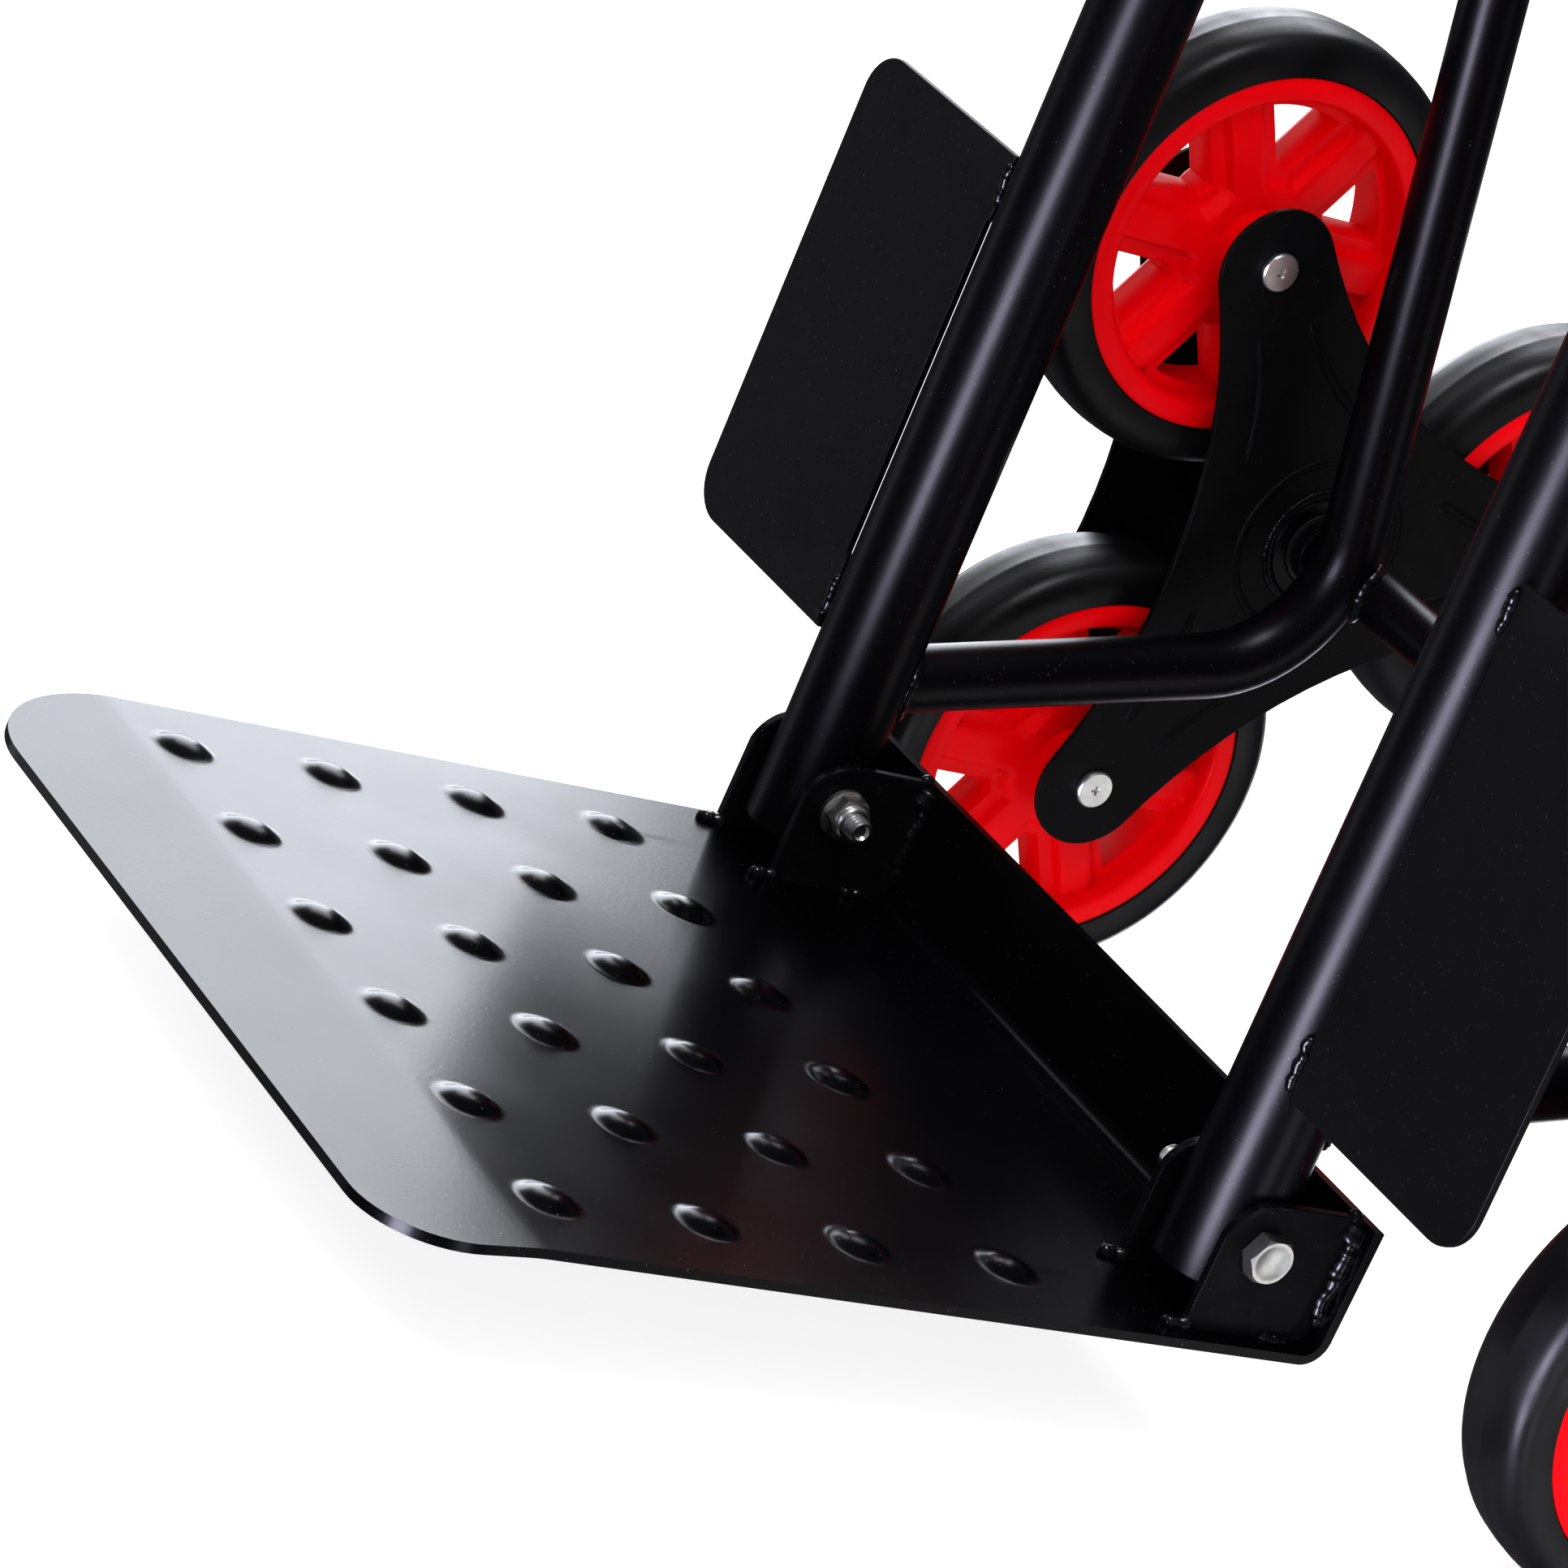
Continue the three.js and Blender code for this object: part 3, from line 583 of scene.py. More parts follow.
def threads(x0, x1, radius, pitch=1.25):
    """Thread crests and roots between x0 and x1, as (x, radius) pairs."""
    count = int(abs(x1 - x0) / pitch)
    profile = []
    for i in range(count):
        x = x0 + (x1 - x0) * i / count
        step = (x1 - x0) / count
        profile += [(x, radius - 0.75), (x + step * 0.42, radius), (x + step * 0.58, radius)]
    profile.append((x1, radius - 0.75))
    return profile


def hex_ring(x, across, depth, centre, count=48, lean=0.0):
    """A ring on a hexagon whose corners are turned down to a circle of the width across flats."""
    ring = []
    for i in range(count):
        a = 2 * math.pi * i / count
        fold = (a % (math.pi / 3)) - math.pi / 6
        radius = across / 2 / math.cos(fold)
        over = (radius - across / 2) * math.tan(math.radians(30))
        ring.append(Vector((
            x - lean * over,
            centre[1] + (radius - depth * (radius - across / 2)) * math.cos(a),
            centre[2] + (radius - depth * (radius - across / 2)) * math.sin(a),
        )))
    return ring


def hex_nut(across, bore, x0, x1, centre):
    rings = [
        round_ring(x0, bore, centre, 48),
        hex_ring(x0, across, 1, centre),
        hex_ring(x0, across, 0, centre, lean=-1),
        hex_ring(x1, across, 0, centre, lean=1),
        hex_ring(x1, across, 1, centre),
        round_ring(x1, bore + 0.6, centre, 48),
        round_ring(x1 - 0.6, bore, centre, 48),
    ]
    return loft(rings, closed=True)


def hex_head(across, x0, x1, centre):
    """A bolt head whose outer face, at x1, is chamfered and slightly dished."""
    lean = math.copysign(1, x1 - x0)
    return loft([
        hex_ring(x0, across, 0, centre),
        hex_ring(x1, across, 0, centre, lean=lean),
        hex_ring(x1, across, 1, centre),
        round_ring(x1, across * 0.40, centre, 48),
        round_ring(x1 - lean * 0.25, across * 0.36, centre, 48),
    ])


def wing(side):
    low, high = size_of("wing_left")
    inner, recess, corner = low.x, low.x + WING_STEP, 14
    bottom, top = low.z, high.z
    outline = [(inner, bottom), (inner, bottom + 23), (inner + 0.3, bottom + 24)]
    outline += [(recess - 0.3, bottom + 24.5), (recess, bottom + 25.5), (recess, top - 22.5)]
    outline += [(recess - 0.3, top - 21.5), (inner + 0.3, top - 21), (inner, top - 20), (inner, top)]
    outline += arc(high.x - corner, top - corner, corner, 90, 0)
    outline += arc(high.x - corner, bottom + corner, corner, 0, -90)
    outline = [(SIDES[side] * u, v) for u, v in outline]
    made = make(f"wing_{side}_sheet", sheet(outline, in_xz, low.y, high.y), MATTE, bevel=0.45)
    fit(made, "frame", f"wing_{side}")
    for label, z0, z1 in (("low", bottom + 2, bottom + 19), ("high", top - 16, top - 2)):
        for layer, y, reach in (("front", low.y - 0.2, 1.4), ("mid", high.y, 0.2)):
            edge = TUBE_X + math.sqrt(TUBE_R ** 2 - y ** 2)
            points = []
            for i in range(7):
                sway = 0.7 * noise.noise(Vector((i * 0.9, z0 * 0.11, SIDES[side])))
                x = (edge + inner) / 2 + reach * 0.5 + sway
                points.append(mirrored((x, y, z0 + (z1 - z0) * i / 6), side))
            bead(f"weld_wing_{layer}_{label}_{side}", points, 1.9, "frame", int(z0) % 13)


def cross_bar(name):
    low, high = size_of(name)
    z = (low.z + high.z) / 2
    radius = (high.z - low.z) / 2
    reach = TUBE_X - TUBE_R + 2.5
    bar = turned([(-reach, radius), (reach, radius)], (0, 0, z), 56, closed=False)
    fit(make(f"{name}_coated", bar, COAT), "frame", name)
    for side in SIDES:
        loop = []
        for i in range(36):
            a = 2 * math.pi * i / 36
            y = radius * math.cos(a)
            x = TUBE_X - math.sqrt(TUBE_R ** 2 - y ** 2)
            loop.append(mirrored((x, y, z + radius * math.sin(a)), side))
        bead(f"weld_{name}_{side}", loop, 2.0, "frame", 2, closed=True)


def cross_plate():
    low, high = size_of("cross_plate")
    r = 10
    outline = []
    for cx, cz, start in ((1, 1, 0), (-1, 1, 90), (-1, -1, 180), (1, -1, 270)):
        mid = (low.z + high.z) / 2
        outline += arc(cx * (high.x - r), mid + cz * ((high.z - low.z) / 2 - r), r, start, start + 90)
    made = make("cross_plate_coated", sheet(outline, in_xz, low.y, high.y), PLATE, bevel=0.7)
    fit(made, "frame", "cross_plate")
    for side in SIDES:
        for edge, z in (("top", high.z), ("foot", low.z)):
            points = [mirrored((TUBE_X - 8 + 2.6 * i, low.y + 1.6, z), side) for i in range(7)]
            bead(f"weld_cross_plate_{edge}_{side}", points, 1.8, "frame", 4)


# ---- toe plate, drawn around its hinge axis
def dimple_rise(x, y):
    for cx in DIMPLE_X:
        for cy in DIMPLE_Y:
            t = math.hypot(x - cx, y - cy) / DIMPLE_R
            if t < 1:
                return DIMPLE_H * (1 - t ** DIMPLE_CROWN) ** DIMPLE_SKIRT
    return 0.0


def lip_drop(y):
    """How far the front strip of the plate is bent down, with a soft bend line."""
    slope = LIP_DROP / (LIP_BACK - PLATE_FRONT)
    past = LIP_BACK - y
    if past > LIP_SOFT:
        return slope * past
    return slope * max(past + LIP_SOFT, 0) ** 2 / (4 * LIP_SOFT)


def plate_stations():
    """Rows down the middle of the sheet: place along y and z, and the direction its upper face looks."""
    mid = PLATE_TOP - PLATE_T / 2
    deep = max(PLATE_CORNERS.values())
    rows = []
    for i in range(19):
        y = PLATE_FRONT + deep * (1 - math.cos(math.pi / 2 * i / 18))
        rows.append((y, mid - lip_drop(y), 0, 1))
    start = PLATE_FRONT + deep
    stop = DIMPLE_Y[0] + DIMPLE_R + 1
    steps = int((stop - start) / 1.3)
    for i in range(1, steps + 1):
        y = start + (stop - start) * i / steps
        rows.append((y, mid - lip_drop(y), 0, 1))
    turn = FLANGE_MID - PLATE_BEND
    rows += [(stop + (turn - stop) * i / 4, mid, 0, 1) for i in range(1, 5)]
    for i in range(1, 9):
        a = math.pi / 2 * i / 8
        y, z = turn + PLATE_BEND * math.sin(a), mid + PLATE_BEND * (1 - math.cos(a))
        rows.append((y, z, -math.sin(a), math.cos(a)))
    rows.append((FLANGE_MID, FLANGE_TOP, -1, 0))
    return rows


def plate_half(y, side):
    radius = PLATE_CORNERS[side]
    in_corner = radius - (y - PLATE_FRONT)
    if in_corner <= 0:
        return PLATE_HALF
    return PLATE_HALF - radius + math.sqrt(max(radius ** 2 - in_corner ** 2, 0))


def toe_sheet():
    columns = 232
    bm = bmesh.new()
    faces = {}
    for face in (1, -1):
        grid = []
        for y, z, ny, nz in plate_stations():
            row = []
            left, right = plate_half(y, "left"), plate_half(y, "right")
            for i in range(columns + 1):
                x = -right + (left + right) * i / columns
                rise = face * PLATE_T / 2 + (dimple_rise(x, y) if nz == 1 else 0)
                row.append(bm.verts.new((x, y + ny * rise, z + nz * rise)))
            grid.append(row)
        faces[face] = grid
        for one, two in zip(grid, grid[1:]):
            for i in range(columns):
                bm.faces.new((one[i], one[i + 1], two[i + 1], two[i]))
    top, under = faces[1], faces[-1]
    for edge in (0, -1):
        for i in range(columns):
            bm.faces.new((top[edge][i], top[edge][i + 1], under[edge][i + 1], under[edge][i]))
        for k in range(len(top) - 1):
            bm.faces.new((top[k][edge], top[k + 1][edge], under[k + 1][edge], under[k][edge]))
    return tidy(bm)


def toe_plate():
    made = make("toe_plate_sheet", toe_sheet(), PLATE, bevel=0.5, angle=60)
    made.matrix_world = TOE_TURN
    fit(made, "toe_plate", "toe_plate")


def ear_outline():
    base = PLATE_TOP + 0.1
    rear = FLANGE_MID - PLATE_T / 2 - 0.1
    kink = math.degrees(math.acos(EAR_FRONT / EAR_R))
    heel = [(rear - 5, base), (rear - 1.5, base + 1.5), (rear, base + 5), (rear, EAR_R)]
    return [(EAR_FRONT, base), *heel, *arc(0, 0, EAR_R, 90, kink, 14)]


def ear(place, side):
    """One hinge ear and the five welds that hold it to the sheet."""
    node = f"ear_{place}_{side}"
    low, high = size_of(node)
    made = make(f"{node}_coated", sheet(ear_outline(), in_yz, low.x, high.x), EAR, bevel=0.45)
    made.matrix_world = TOE_TURN
    fit(made, "toe_plate", node)
    outward = SIDES[side] if place == "outer" else -SIDES[side]
    face = high.x if outward > 0 else low.x
    middle = (low.x + high.x) / 2
    base = PLATE_TOP + 0.2
    rear = FLANGE_MID - PLATE_T / 2 - 0.6
    front = EAR_FRONT + 2
    beads = {
        "front": (2.5, 1 + int(low.x) % 5, [
            (middle + 0.6 * math.sin(i * 1.9), front - 2.1 * i, base + 0.9 - 0.12 * i) for i in range(5)]),
        "heel": (1.9, 4, [
            (face + outward * 0.3, rear - 17 + 2.2 * i, base + 0.3 + 0.4 * math.sin(i * 2.3))
            for i in range(6)]),
        "back": (2.5, 7, [
            (face + outward * 0.4, rear - 0.3 + 0.5 * math.sin(i * 1.7), -20 + 2.9 * i) for i in range(11)]),
        "lump": (3.3, 11, [
            (face + outward * 0.2, rear - 2.4 + 0.5 * i, 6.5 + 1.6 * i) for i in range(5)]),
        "crest": (2.4, 9, [(low.x + 0.8 * i, rear - 2, EAR_R - 0.8) for i in range(5)]),
    }
    for label, (radius, seed, points) in beads.items():
        bead(f"weld_{node}_{label}", points, radius, "toe_plate", seed, turn=TOE_TURN)


def hinge_fastener(side):
    sign = SIDES[side]
    centre = (0, 0, 0)
    low, high = size_of("hinge_bolt_left")
    seat = high.x - BOLT_HEAD
    rod = [(low.x + 1.2, 0), (low.x + 1.0, 1.9), (low.x, 2.5), (low.x, 3.1)]
    rod += threads(low.x + 0.5, low.x + 14, BOLT_R) + [(seat, BOLT_R), (seat, 0)]
    shank = turned(rod, centre, 40, closed=False)
    bm = side_mirror(merge(shank, hex_head(BOLT_HEX, seat, high.x, centre)), sign)
    made = make(f"hinge_bolt_{side}_plated", bm, ZINC, angle=30)
    made.matrix_world = TOE_TURN
    fit(made, "toe_plate", f"hinge_bolt_{side}")
    low, high = size_of("hinge_nut_left")
    nut = hex_nut(BOLT_HEX, NUT_BORE, low.x + 1.6, high.x - 1.5, centre)
    collar = [(low.x, 4.3), (low.x, 5.0), (low.x + 0.6, 5.6), (low.x + 1.8, 5.8), (low.x + 1.8, 4.3)]
    lock = turned(collar, centre, 48)
    flange = [(high.x - 1.5, 4.2), (high.x - 1.5, 7.9), (high.x, 7.9), (high.x, 4.2)]
    ring = turned(flange, centre, 48)
    bm = side_mirror(merge(nut, ring, lock), sign)
    made = make(f"hinge_nut_{side}_plated", bm, ZINC, angle=30)
    made.matrix_world = TOE_TURN
    fit(made, "toe_plate", f"hinge_nut_{side}")


def merge(*parts):
    """One mesh that holds several separate closed shells."""
    whole = bmesh.new()
    for part in parts:
        mesh = bpy.data.meshes.new("part")
        part.to_mesh(mesh)
        part.free()
        whole.from_mesh(mesh)
        bpy.data.meshes.remove(mesh)
    return whole


def side_mirror(bm, sign):
    if sign < 0:
        bmesh.ops.scale(bm, vec=(-1, 1, 1), verts=bm.verts)
        bmesh.ops.reverse_faces(bm, faces=bm.faces)
    return bm


# ---- wheel clusters
def arm_angles(side):
    """The direction of each arm, from the axle to its wheel."""
    angles = []
    for k in (1, 2, 3):
        wheel = joint_place(f"wheel_{side}_{k}_roll")
        angles.append(math.atan2(wheel.z - AXLE.z, wheel.y - AXLE.y))
    return angles


def around(angle, radial, across):
    return (
        AXLE.y + radial * math.cos(angle) - across * math.sin(angle),
        AXLE.z + radial * math.sin(angle) + across * math.cos(angle),
    )


def star_outline(side):
    slack = VALLEY - ARM_END
    reach = (ARM ** 2 - slack ** 2) / (ARM - 2 * slack)
    hollow = reach - VALLEY
    half = math.atan2(reach * math.sin(math.pi / 3), reach / 2 - ARM)
    outline = []
    for angle in arm_angles(side):
        for i in range(21):
            a = -half + 2 * half * i / 20
            outline.append(around(angle, ARM + ARM_END * math.cos(a), ARM_END * math.sin(a)))
        for i in range(1, 16):
            a = math.pi / 3 + (half - math.pi / 3) * (1 - 2 * i / 16)
            outline.append(around(
                angle,
                reach / 2 - hollow * math.cos(a),
                reach * math.sin(math.pi / 3) - hollow * math.sin(a),
            ))
    return outline


def star(place, side):
    node = f"star_{place}_{side}"
    low, high = size_of(node)
    made = make(f"{node}_pressed", sheet(star_outline(side), in_yz, low.x, high.x), MATTE, bevel=0.45)
    fit(made, f"cluster_{side}", node)
    outward = -SIDES[side] if place == "inner" else SIDES[side]
    face = (low.x if outward < 0 else high.x) - outward * 0.25
    shells = []
    for angle in arm_angles(side):
        for hand in (1, -1):
            spine = []
            for i in range(25):
                t = i / 24
                radial = RIB_START - RIB_LENGTH * t
                across = hand * (9.3 + 11.5 * t ** 1.9)
                spine.append(around(angle, radial, across))
            shells.append(ridge(spine, face, outward, 1.9, 1.1))
    turns = [math.pi * i / 36 for i in range(72)]
    circle = [around(0, RIB_CIRCLE * math.cos(a), RIB_CIRCLE * math.sin(a)) for a in turns]
    shells.append(ridge(circle, face, outward, 1.6, 0.8, closed=True))
    fit(make(f"{node}_ribs", merge(*shells), MATTE, angle=70), f"cluster_{side}")


def ridge(spine, face, outward, half, height, closed=False):
    """A low rounded rib on a face that looks along X."""
    count = len(spine)
    rings = []
    for k, (y, z) in enumerate(spine):
        ahead = spine[(k + 1) % count] if closed or k < count - 1 else spine[k]
        behind = spine[k - 1] if closed or k > 0 else spine[k]
        dy, dz = ahead[0] - behind[0], ahead[1] - behind[1]
        length = math.hypot(dy, dz)
        fade = 1.0 if closed else min(1.0, 0.15 + min(k, count - 1 - k) / 4)
        ring = []
        for i in range(10):
            a = 2 * math.pi * i / 10
            off = half * math.sqrt(fade) * math.cos(a)
            lift = height * fade * math.sin(a)
            ring.append(Vector((face + outward * lift, y - dz / length * off, z + dy / length * off)))
        rings.append(ring)
    return loft(rings, closed)


def hub(side):
    sign = SIDES[side]
    low, high = size_of(f"hub_sleeve_{side}")
    profile = [(low.x, HUB_BORE), (low.x, 17.6), (low.x + 0.8, 18), (low.x, 18.6), (low.x, HUB_R)]
    profile += [(high.x, HUB_R), (high.x, 18.6), (high.x - 0.8, 18), (high.x, 17.6), (high.x, HUB_BORE)]
    sleeve = make(f"hub_sleeve_{side}_turned", turned(profile, AXLE, 72), COAT, bevel=0.25)
    fit(sleeve, f"cluster_{side}", f"hub_sleeve_{side}")
    low, high = size_of(f"hub_bush_{side}")
    profile = [(low.x, 6.4), (low.x, 9), (low.x + 0.6, 9.4), (low.x, 10), (low.x, 12.5)]
    profile += [(high.x, 12.5), (high.x, 10), (high.x - 0.6, 9.4), (high.x, 9), (high.x, 6.4)]
    bush = make(f"hub_bush_{side}_turned", turned(profile, AXLE, 72), PLASTIC, bevel=0.2)
    fit(bush, f"cluster_{side}", f"hub_bush_{side}")
    inner, outer = size_of("star_inner_left")[0].x, size_of("star_outer_left")[1].x
    for label, x in (("inner", inner - 0.1), ("outer", outer + 0.1)):
        loop = round_ring(sign * x, HUB_R + 0.2, AXLE, 60)
        bead(f"weld_hub_{label}_{side}", loop, 0.8, f"cluster_{side}", 6, closed=True)


def window_loop(share):
    """The outline of one rim window, share 0, spread out to the edge of its sixth of the web, share 1."""
    lean_in, lean_out = math.asin(SPOKE_HALF / WINDOW_IN), math.asin(SPOKE_HALF / WINDOW_OUT)
    web = WEB_OUT - WEB_IN
    sixth = math.pi / 3
    loop = []
    for i in range(12):
        r = WINDOW_IN + (WINDOW_OUT - WINDOW_IN) * i / 12
        loop.append(((r, math.asin(SPOKE_HALF / r)), (WEB_IN + web * i / 12, 0)))
    for i in range(20):
        t = i / 20
        loop.append(((WINDOW_OUT, lean_out + (sixth - 2 * lean_out) * t), (WEB_OUT, sixth * t)))
    for i in range(12):
        r = WINDOW_OUT - (WINDOW_OUT - WINDOW_IN) * i / 12
        loop.append(((r, sixth - math.asin(SPOKE_HALF / r)), (WEB_OUT - web * i / 12, sixth)))
    for i in range(20):
        t = 1 - i / 20
        loop.append(((WINDOW_IN, lean_in + (sixth - 2 * lean_in) * t), (WEB_IN, sixth * t)))
    points = []
    for (r0, a0), (r1, a1) in loop:
        near = Vector((r0 * math.cos(a0), r0 * math.sin(a0)))
        far = Vector((r1 * math.cos(a1), r1 * math.sin(a1)))
        points.append(near.lerp(far, share))
    return points


def smooth_step(value):
    value = min(1.0, max(0.0, value))
    return value * value * (3 - 2 * value)


def web_height(point):
    """How far the web's face stands from the wheel's middle plane: ribbed spokes and a raised hub."""
    r = point.length
    a = math.atan2(point.y, point.x) % (math.pi / 3)
    off = r * math.sin(min(a, math.pi / 3 - a))
    spoke = smooth_step((7.6 - off) / 2.6)
    boss = smooth_step((24 - r * math.cos(a - math.pi / 6)) / 3.4)
    rise = SPOKE_RISE * max(spoke, boss)
    return WEB_HALF + rise * (1 - 0.25 * smooth_step((r - 40) / 9))


def rim_mesh():
    bm = bmesh.new()
    shares = [0.0, 0.10, 0.2, 0.32, 0.44, 0.56, 0.68, 0.8, 0.9, 1.0]
    for k in range(6):
        turn = Matrix.Rotation(math.pi / 3 * k, 2)
        for face in (1, -1):
            loops = []
            for wall in (0.0, WEB_HALF - 2.6):
                loops.append([bm.verts.new((face * wall, *(turn @ p))) for p in window_loop(0.0)])
            for share in shares[1:]:
                row = window_loop(share)
                loops.append([bm.verts.new((face * web_height(p), *(turn @ p))) for p in row])
            for one, two in zip(loops, loops[1:]):
                skin(bm, one, two)
    lip = [(51.6, RIM_HALF - 1.6), (52.6, RIM_HALF - 0.3), (53.6, RIM_HALF), (58.2, RIM_HALF)]
    lip += [(RIM_R, RIM_HALF - 0.8), (RIM_R, 0)]
    boss = [(13.6, 14), (13.2, BOSS_HALF - 1), (12.4, BOSS_HALF), (5.2, BOSS_HALF)]
    boss += [(4.4, BOSS_HALF - 0.8), (4.4, 0)]
    for face in (1, -1):
        join_rings(bm, face, WEB_OUT, ring_rises(WEB_OUT), lip)
        join_rings(bm, face, WEB_IN, ring_rises(WEB_IN), boss)
    return tidy(bm)


def ring_angles():
    """Angles round the wheel that meet the corners of the six web pieces."""
    return [math.pi / 3 * (i / 20) for i in range(120)]


def ring_rises(radius):
    return [web_height(Vector((radius * math.cos(a), radius * math.sin(a)))) for a in ring_angles()]


def join_rings(bm, face, radius, rises, profile):
    """Turns a (radius, x) profile on from the web's edge, whose height varies round the wheel."""
    angles = ring_angles()
    rows = [[(radius, rise) for rise in rises]]
    rows += [[pair] * len(angles) for pair in profile]
    loops = []
    for row in rows:
        loops.append([
            bm.verts.new((face * x, r * math.cos(a), r * math.sin(a)))
            for (r, x), a in zip(row, angles)
        ])
    for one, two in zip(loops, loops[1:]):
        skin(bm, one, two)


def tyre_mesh():
    half = [(15.3, 60.0), (15.6, 62.2), (15.5, 66.0), (14.9, 69.2), (13.2, 71.7), (10, 73.1), (5, 73.75)]
    half += [(1.0, 73.9), (0.55, TYRE_R), (0, TYRE_R)]
    return turned(half + [(-x, r) for x, r in half[-2::-1]], (0, 0, 0), 128)


def screw_mesh():
    """A flat head with a cross recess inside, and a nut on the threaded end outside. The wheel is at x 0."""
    low, high = size_of("wheel_bolt_left_1")
    middle = joint_place("wheel_left_1_roll").x
    head, end = low.x - middle, high.x - middle
    stud = end - 8
    profile = [(head + 1.9, 0), (head + 1.9, 6.4), (head + 0.5, 6.4), (head, 5.9), (head, 0)]
    disc = turned(profile, count=48, closed=False)
    cross = []
    for length, width in ((4.6, 1.5), (1.5, 4.6)):
        cross.append(bmesh.new())
        bmesh.ops.create_cube(cross[-1], size=1)
        bmesh.ops.scale(cross[-1], vec=(2.4, length, width), verts=cross[-1].verts)
        for vert in cross[-1].verts:
            taper = 1 if vert.co.x < 0 else 0.45
            vert.co = Vector((head + vert.co.x, vert.co.y * taper, vert.co.z * taper))
    bare = show("screw_head", mesh_of("screw_head", disc))
    tools = [show(f"recess_{i}", mesh_of(f"recess_{i}", tool)) for i, tool in enumerate(cross)]
    for tool in tools:
        cut = bare.modifiers.new("recess", "BOOLEAN")
        cut.operation = "DIFFERENCE"
        cut.object = tool
    depsgraph = bpy.context.evaluated_depsgraph_get()
    cut_head = bpy.data.meshes.new_from_object(bare.evaluated_get(depsgraph))
    for extra in (bare, *tools):
        bpy.data.objects.remove(extra)
    bm = bmesh.new()
    bm.from_mesh(cut_head)
    rod = [(head + 1.8, BOLT_R), (stud - 1, BOLT_R)] + threads(stud, end - 0.6, BOLT_R)
    rod += [(end, BOLT_R - 1), (end, 0)]
    shank = turned([(head + 1.8, 0)] + rod, count=40, closed=False)
    face = size_of("star_outer_left")[1].x - middle
    nut = hex_nut(BOLT_HEX, NUT_BORE, face + 0.2, face + 6.6, (0, 0, 0))
    return merge(bm, shank, nut)


def mesh_of(name, bm):
    mesh = bpy.data.meshes.new(name)
    bm.to_mesh(mesh)
    bm.free()
    return mesh


def shared(name, bm, material, angle=35):
    """A mesh in metres that several pieces use."""
    bmesh.ops.scale(bm, vec=(MM, MM, MM), verts=bm.verts)
    mesh = mesh_of(name, bm)
    mesh.materials.append(material)
    mesh.shade_smooth()
    mesh.set_sharp_from_angle(angle=math.radians(angle))
    return mesh


def wheels():
    rim = shared("rim_moulding", rim_mesh(), RED)
    tyre = shared("tyre_moulding", tyre_mesh(), RUBBER, 60)
    screw = shared("wheel_screw", screw_mesh(), ZINC, 30)
    for side, sign in SIDES.items():
        for k in (1, 2, 3):
            tag = f"{side}_{k}"
            centre = joint_place(f"wheel_{tag}_roll") * MM
            flip = Matrix.Rotation(0 if sign > 0 else math.pi, 4, "Z")
            for kind, mesh, body, node, turn in (
                ("rim", rim, f"wheel_{tag}", f"rim_{tag}", Matrix.Rotation(math.radians(1), 4, "X")),
                ("tyre", tyre, f"wheel_{tag}", f"tyre_{tag}", Matrix.Identity(4)),
                ("screw", screw, f"cluster_{side}", f"wheel_bolt_{tag}", Matrix.Rotation(0.7 * k, 4, "X")),
            ):
                made = show(f"{kind}_{tag}_moulded", mesh)
                made.matrix_world = Matrix.Translation(centre) @ flip @ turn
                fit(made, body, node)


# ---- handle and clamps
def handle():
    low, high = size_of("handle_loop")
    top = high.z - HANDLE_R
    foot = low.z
    across = Vector((0, 1, 0))
    up = Vector((0, 0, 1))
    stations = [(Vector((-TUBE_X, 0, foot)), up, across)]
    for corner, start, stop in ((-1, 180, 90), (1, 90, 0)):
        for i in range(15):
            a = math.radians(start + (stop - start) * i / 14)
            centre = Vector((corner * (TUBE_X - HANDLE_BEND), 0, top - HANDLE_BEND))
            out = Vector((math.cos(a), 0, math.sin(a)))
            stations.append((centre + HANDLE_BEND * out, Vector((math.sin(a), 0, -math.cos(a))), across))
    stations.append((Vector((TUBE_X, 0, foot)), -up, across))
    tube = swept(stations, HANDLE_R, HANDLE_R - HANDLE_WALL, 56)
    fit(make("handle_loop_coated", tube, COAT, bevel=0.4), "handle", "handle_loop")
    low, high = size_of("handle_grip")
    half, radius = high.x, (high.z - low.z) / 2
    profile = [(-half, HANDLE_R + 0.1), (-half, radius - 1.4), (-half + 1.4, radius)]
    for i in range(GRIP_RIBS):
        x = -half + 6 + (2 * half - 12) * i / (GRIP_RIBS - 1)
        profile += [(x - 1.5, radius), (x - 0.8, radius - 0.9), (x + 0.8, radius - 0.9), (x + 1.5, radius)]
    profile += [(half - 1.4, radius), (half, radius - 1.4), (half, HANDLE_R + 0.1)]
    centre = (0, 0, top)
    grip = make("handle_grip_ribbed", turned(profile, centre, 64), FOAM, angle=60)
    fit(grip, "handle", "handle_grip")


def carry_over(node, material, bevel):
    """Keeps a CAD node's own shape, with rounded edges and a real finish."""
    made = frame["nodes"][node]
    made.data.materials.clear()
    made.data.materials.append(material)
    round_edges(made, bevel, 3, 40)


def clamps():
    for side in SIDES:
        carry_over(f"collar_{side}", PLASTIC, 0.6)
        carry_over(f"clamp_bolt_{side}", ZINC, 0.5)
        carry_over(f"clamp_lever_{side}", PLASTIC, 1.2)


# ---- stage, in metres
CARD_HEIGHT = 1.5
CARD_REACH = 2


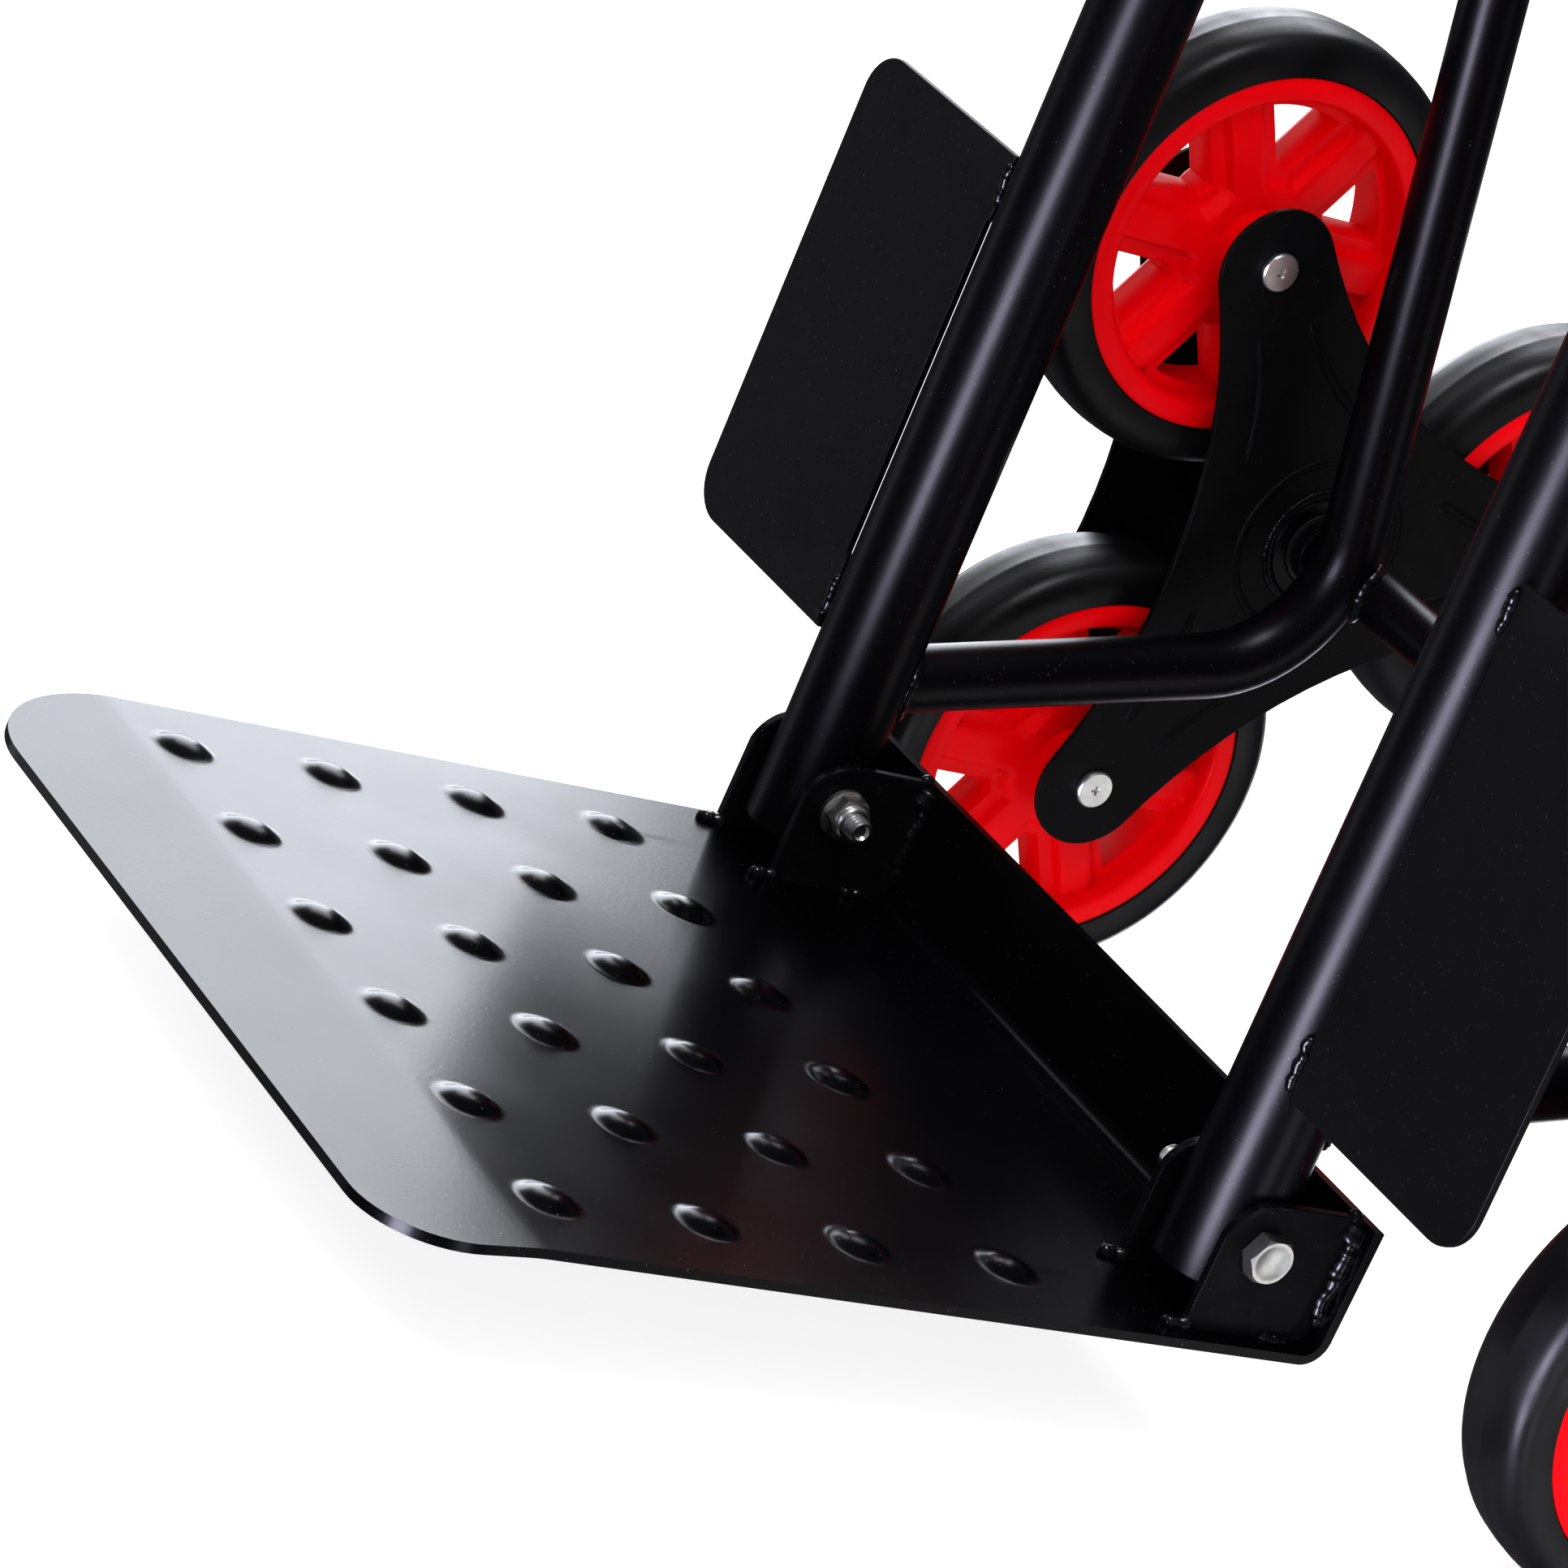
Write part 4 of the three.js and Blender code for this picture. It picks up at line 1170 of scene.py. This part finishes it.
def studio():
    """A pale floor, two broad suns for the colours, and cards and softboxes that only the gloss sees."""
    pale_floor()
    pale_world()
    bpy.context.scene.view_settings.view_transform = "Standard"
    bpy.context.scene.view_settings.look = "Medium High Contrast"
    broad_sun("overhead", 3.1, 70, (-0.1, 0.3, -1))
    broad_sun("fill", 2.1, 80, (-1, 0.55, -0.35))
    card("front_card", -61, 0.65, 32, (0.82, 0.79, 1.0))
    card("near_card", 2, 0.5, 3, (0.93, 0.93, 1.0))
    card("side_card", 40, 0.9, 0.95, (1.0, 1.0, 1.0))
    card("rear_card", 120, 0.6, 2.5, (0.93, 0.93, 1.0))
    card("far_card", -150, 0.6, 0.8, (0.96, 0.96, 1.0))
    softbox("back_softbox", (-2.5, 0.86, 0.85), (-0.1, -0.15, 0), (1.4, 1.5), 39, (0.90, 0.93, 1.0))
    softbox("high_softbox", (-1.75, 0.95, 1.75), (-0.1, -0.15, 0), (1.3, 1.0), 20, (0.94, 0.95, 1.0))
    softbox("left_softbox", (-2.2, -0.75, 1.3), (0, 0, 0), (0.9, 0.9), 7, (0.95, 0.96, 1.0))
    softbox("top_softbox", (0.6, -0.6, 2.6), (0, 0, 0.1), (0.9, 0.7), 55, (0.97, 0.97, 1.0))


def pale_floor():
    bm = bmesh.new()
    bmesh.ops.create_grid(bm, x_segments=1, y_segments=1, size=30)
    floor = bpy.data.objects.new("floor", mesh_of("floor", bm))
    floor.location = (0, 0, CAD_BOX[0][2])
    pale, shader = node_material("pale_floor", (0.50, 0.50, 0.505), 0.9)
    shader.inputs["Emission Color"].default_value = (1, 1, 1, 1)
    shader.inputs["Emission Strength"].default_value = 0.7
    floor.data.materials.append(pale)
    bpy.context.scene.collection.objects.link(floor)
    floor.visible_glossy = False


def pale_world():
    """A dim surround for the gloss, behind a white one that only the camera sees."""
    world = bpy.data.worlds.new("studio")
    world.use_nodes = True
    nodes, links = world.node_tree.nodes, world.node_tree.links
    dim = nodes["Background"]
    dim.inputs["Color"].default_value = (0.92, 0.94, 1.0, 1)
    dim.inputs["Strength"].default_value = 0.09
    pale = nodes.new("ShaderNodeBackground")
    pale.inputs["Color"].default_value = (1, 1, 1, 1)
    seen = nodes.new("ShaderNodeMixShader")
    links.new(nodes.new("ShaderNodeLightPath").outputs["Is Camera Ray"], seen.inputs["Fac"])
    links.new(dim.outputs["Background"], seen.inputs[1])
    links.new(pale.outputs["Background"], seen.inputs[2])
    links.new(seen.outputs["Shader"], nodes["World Output"].inputs["Surface"])
    bpy.context.scene.world = world


def broad_sun(name, power, spread_angle, direction):
    """A very wide sun that lights the colours and leaves no streak in the gloss."""
    light = bpy.data.lights.new(name, "SUN")
    light.energy = power
    light.angle = math.radians(spread_angle)
    made = bpy.data.objects.new(name, light)
    made.visible_glossy = False
    made.rotation_euler = Vector(direction).to_track_quat("-Z", "Y").to_euler()
    bpy.context.scene.collection.objects.link(made)


def softbox(name, place, aim, size, power, colour):
    """A lamp that lights only the gloss of the pieces."""
    light = bpy.data.lights.new(name, "AREA")
    light.shape = "RECTANGLE"
    light.size, light.size_y = size
    light.energy = power
    light.color = colour
    made = bpy.data.objects.new(name, light)
    made.location = place
    made.rotation_euler = (Vector(aim) - made.location).to_track_quat("-Z", "Y").to_euler()
    made.visible_camera = False
    made.visible_diffuse = False
    bpy.context.scene.collection.objects.link(made)


def card(name, azimuth, width, strength, colour):
    """An upright card below the floor that shows only as a band in the gloss of the tubes."""
    bm = bmesh.new()
    corners = [(-width / 2, 0), (width / 2, 0), (width / 2, CARD_HEIGHT), (-width / 2, CARD_HEIGHT)]
    bm.faces.new([bm.verts.new((0, u, v)) for u, v in corners])
    glow = bpy.data.materials.new(name)
    glow.use_nodes = True
    glow.cycles.emission_sampling = "NONE"
    shader = glow.node_tree.nodes["Principled BSDF"]
    shader.inputs["Base Color"].default_value = (0, 0, 0, 1)
    shader.inputs["Emission Color"].default_value = (*colour, 1)
    shader.inputs["Emission Strength"].default_value = strength
    made = bpy.data.objects.new(name, mesh_of(name, bm))
    made.data.materials.append(glow)
    a = math.radians(azimuth)
    foot = CAD_BOX[0][2] - CARD_HEIGHT - 0.02
    made.location = (CARD_REACH * math.cos(a), CARD_REACH * math.sin(a), foot)
    made.rotation_euler = (0, 0, a)
    made.visible_camera = False
    made.visible_diffuse = False
    made.visible_shadow = False
    bpy.context.scene.collection.objects.link(made)


def camera():
    """A long lens, turned about a quarter of a right angle around its own axis."""
    eye = bpy.data.cameras.new("camera")
    eye.lens = 149.5
    eye.sensor_width = 36
    eye.clip_end = 60
    made = bpy.data.objects.new("camera", eye)
    right = Vector((0.44733, 0.81468, 0.36904))
    up = Vector((-0.47190, -0.13551, 0.87118))
    back = right.cross(up)
    turn = Matrix((right, up, back)).transposed().to_4x4()
    made.matrix_world = Matrix.Translation((1.38089, -1.12882, 0.66991)) @ turn
    bpy.context.scene.collection.objects.link(made)
    bpy.context.scene.camera = made


camera()
studio()
for part in SIDES:
    main_tube(part)
    brace(part)
    wing(part)
    hub(part)
    hinge_fastener(part)
    for layer in ("inner", "outer"):
        ear(layer, part)
        star(layer, part)
axle()
cross_bar("cross_bar_lower")
cross_bar("cross_bar_upper")
cross_plate()
toe_plate()
wheels()
handle()
clamps()

bpy.context.view_layer.update()
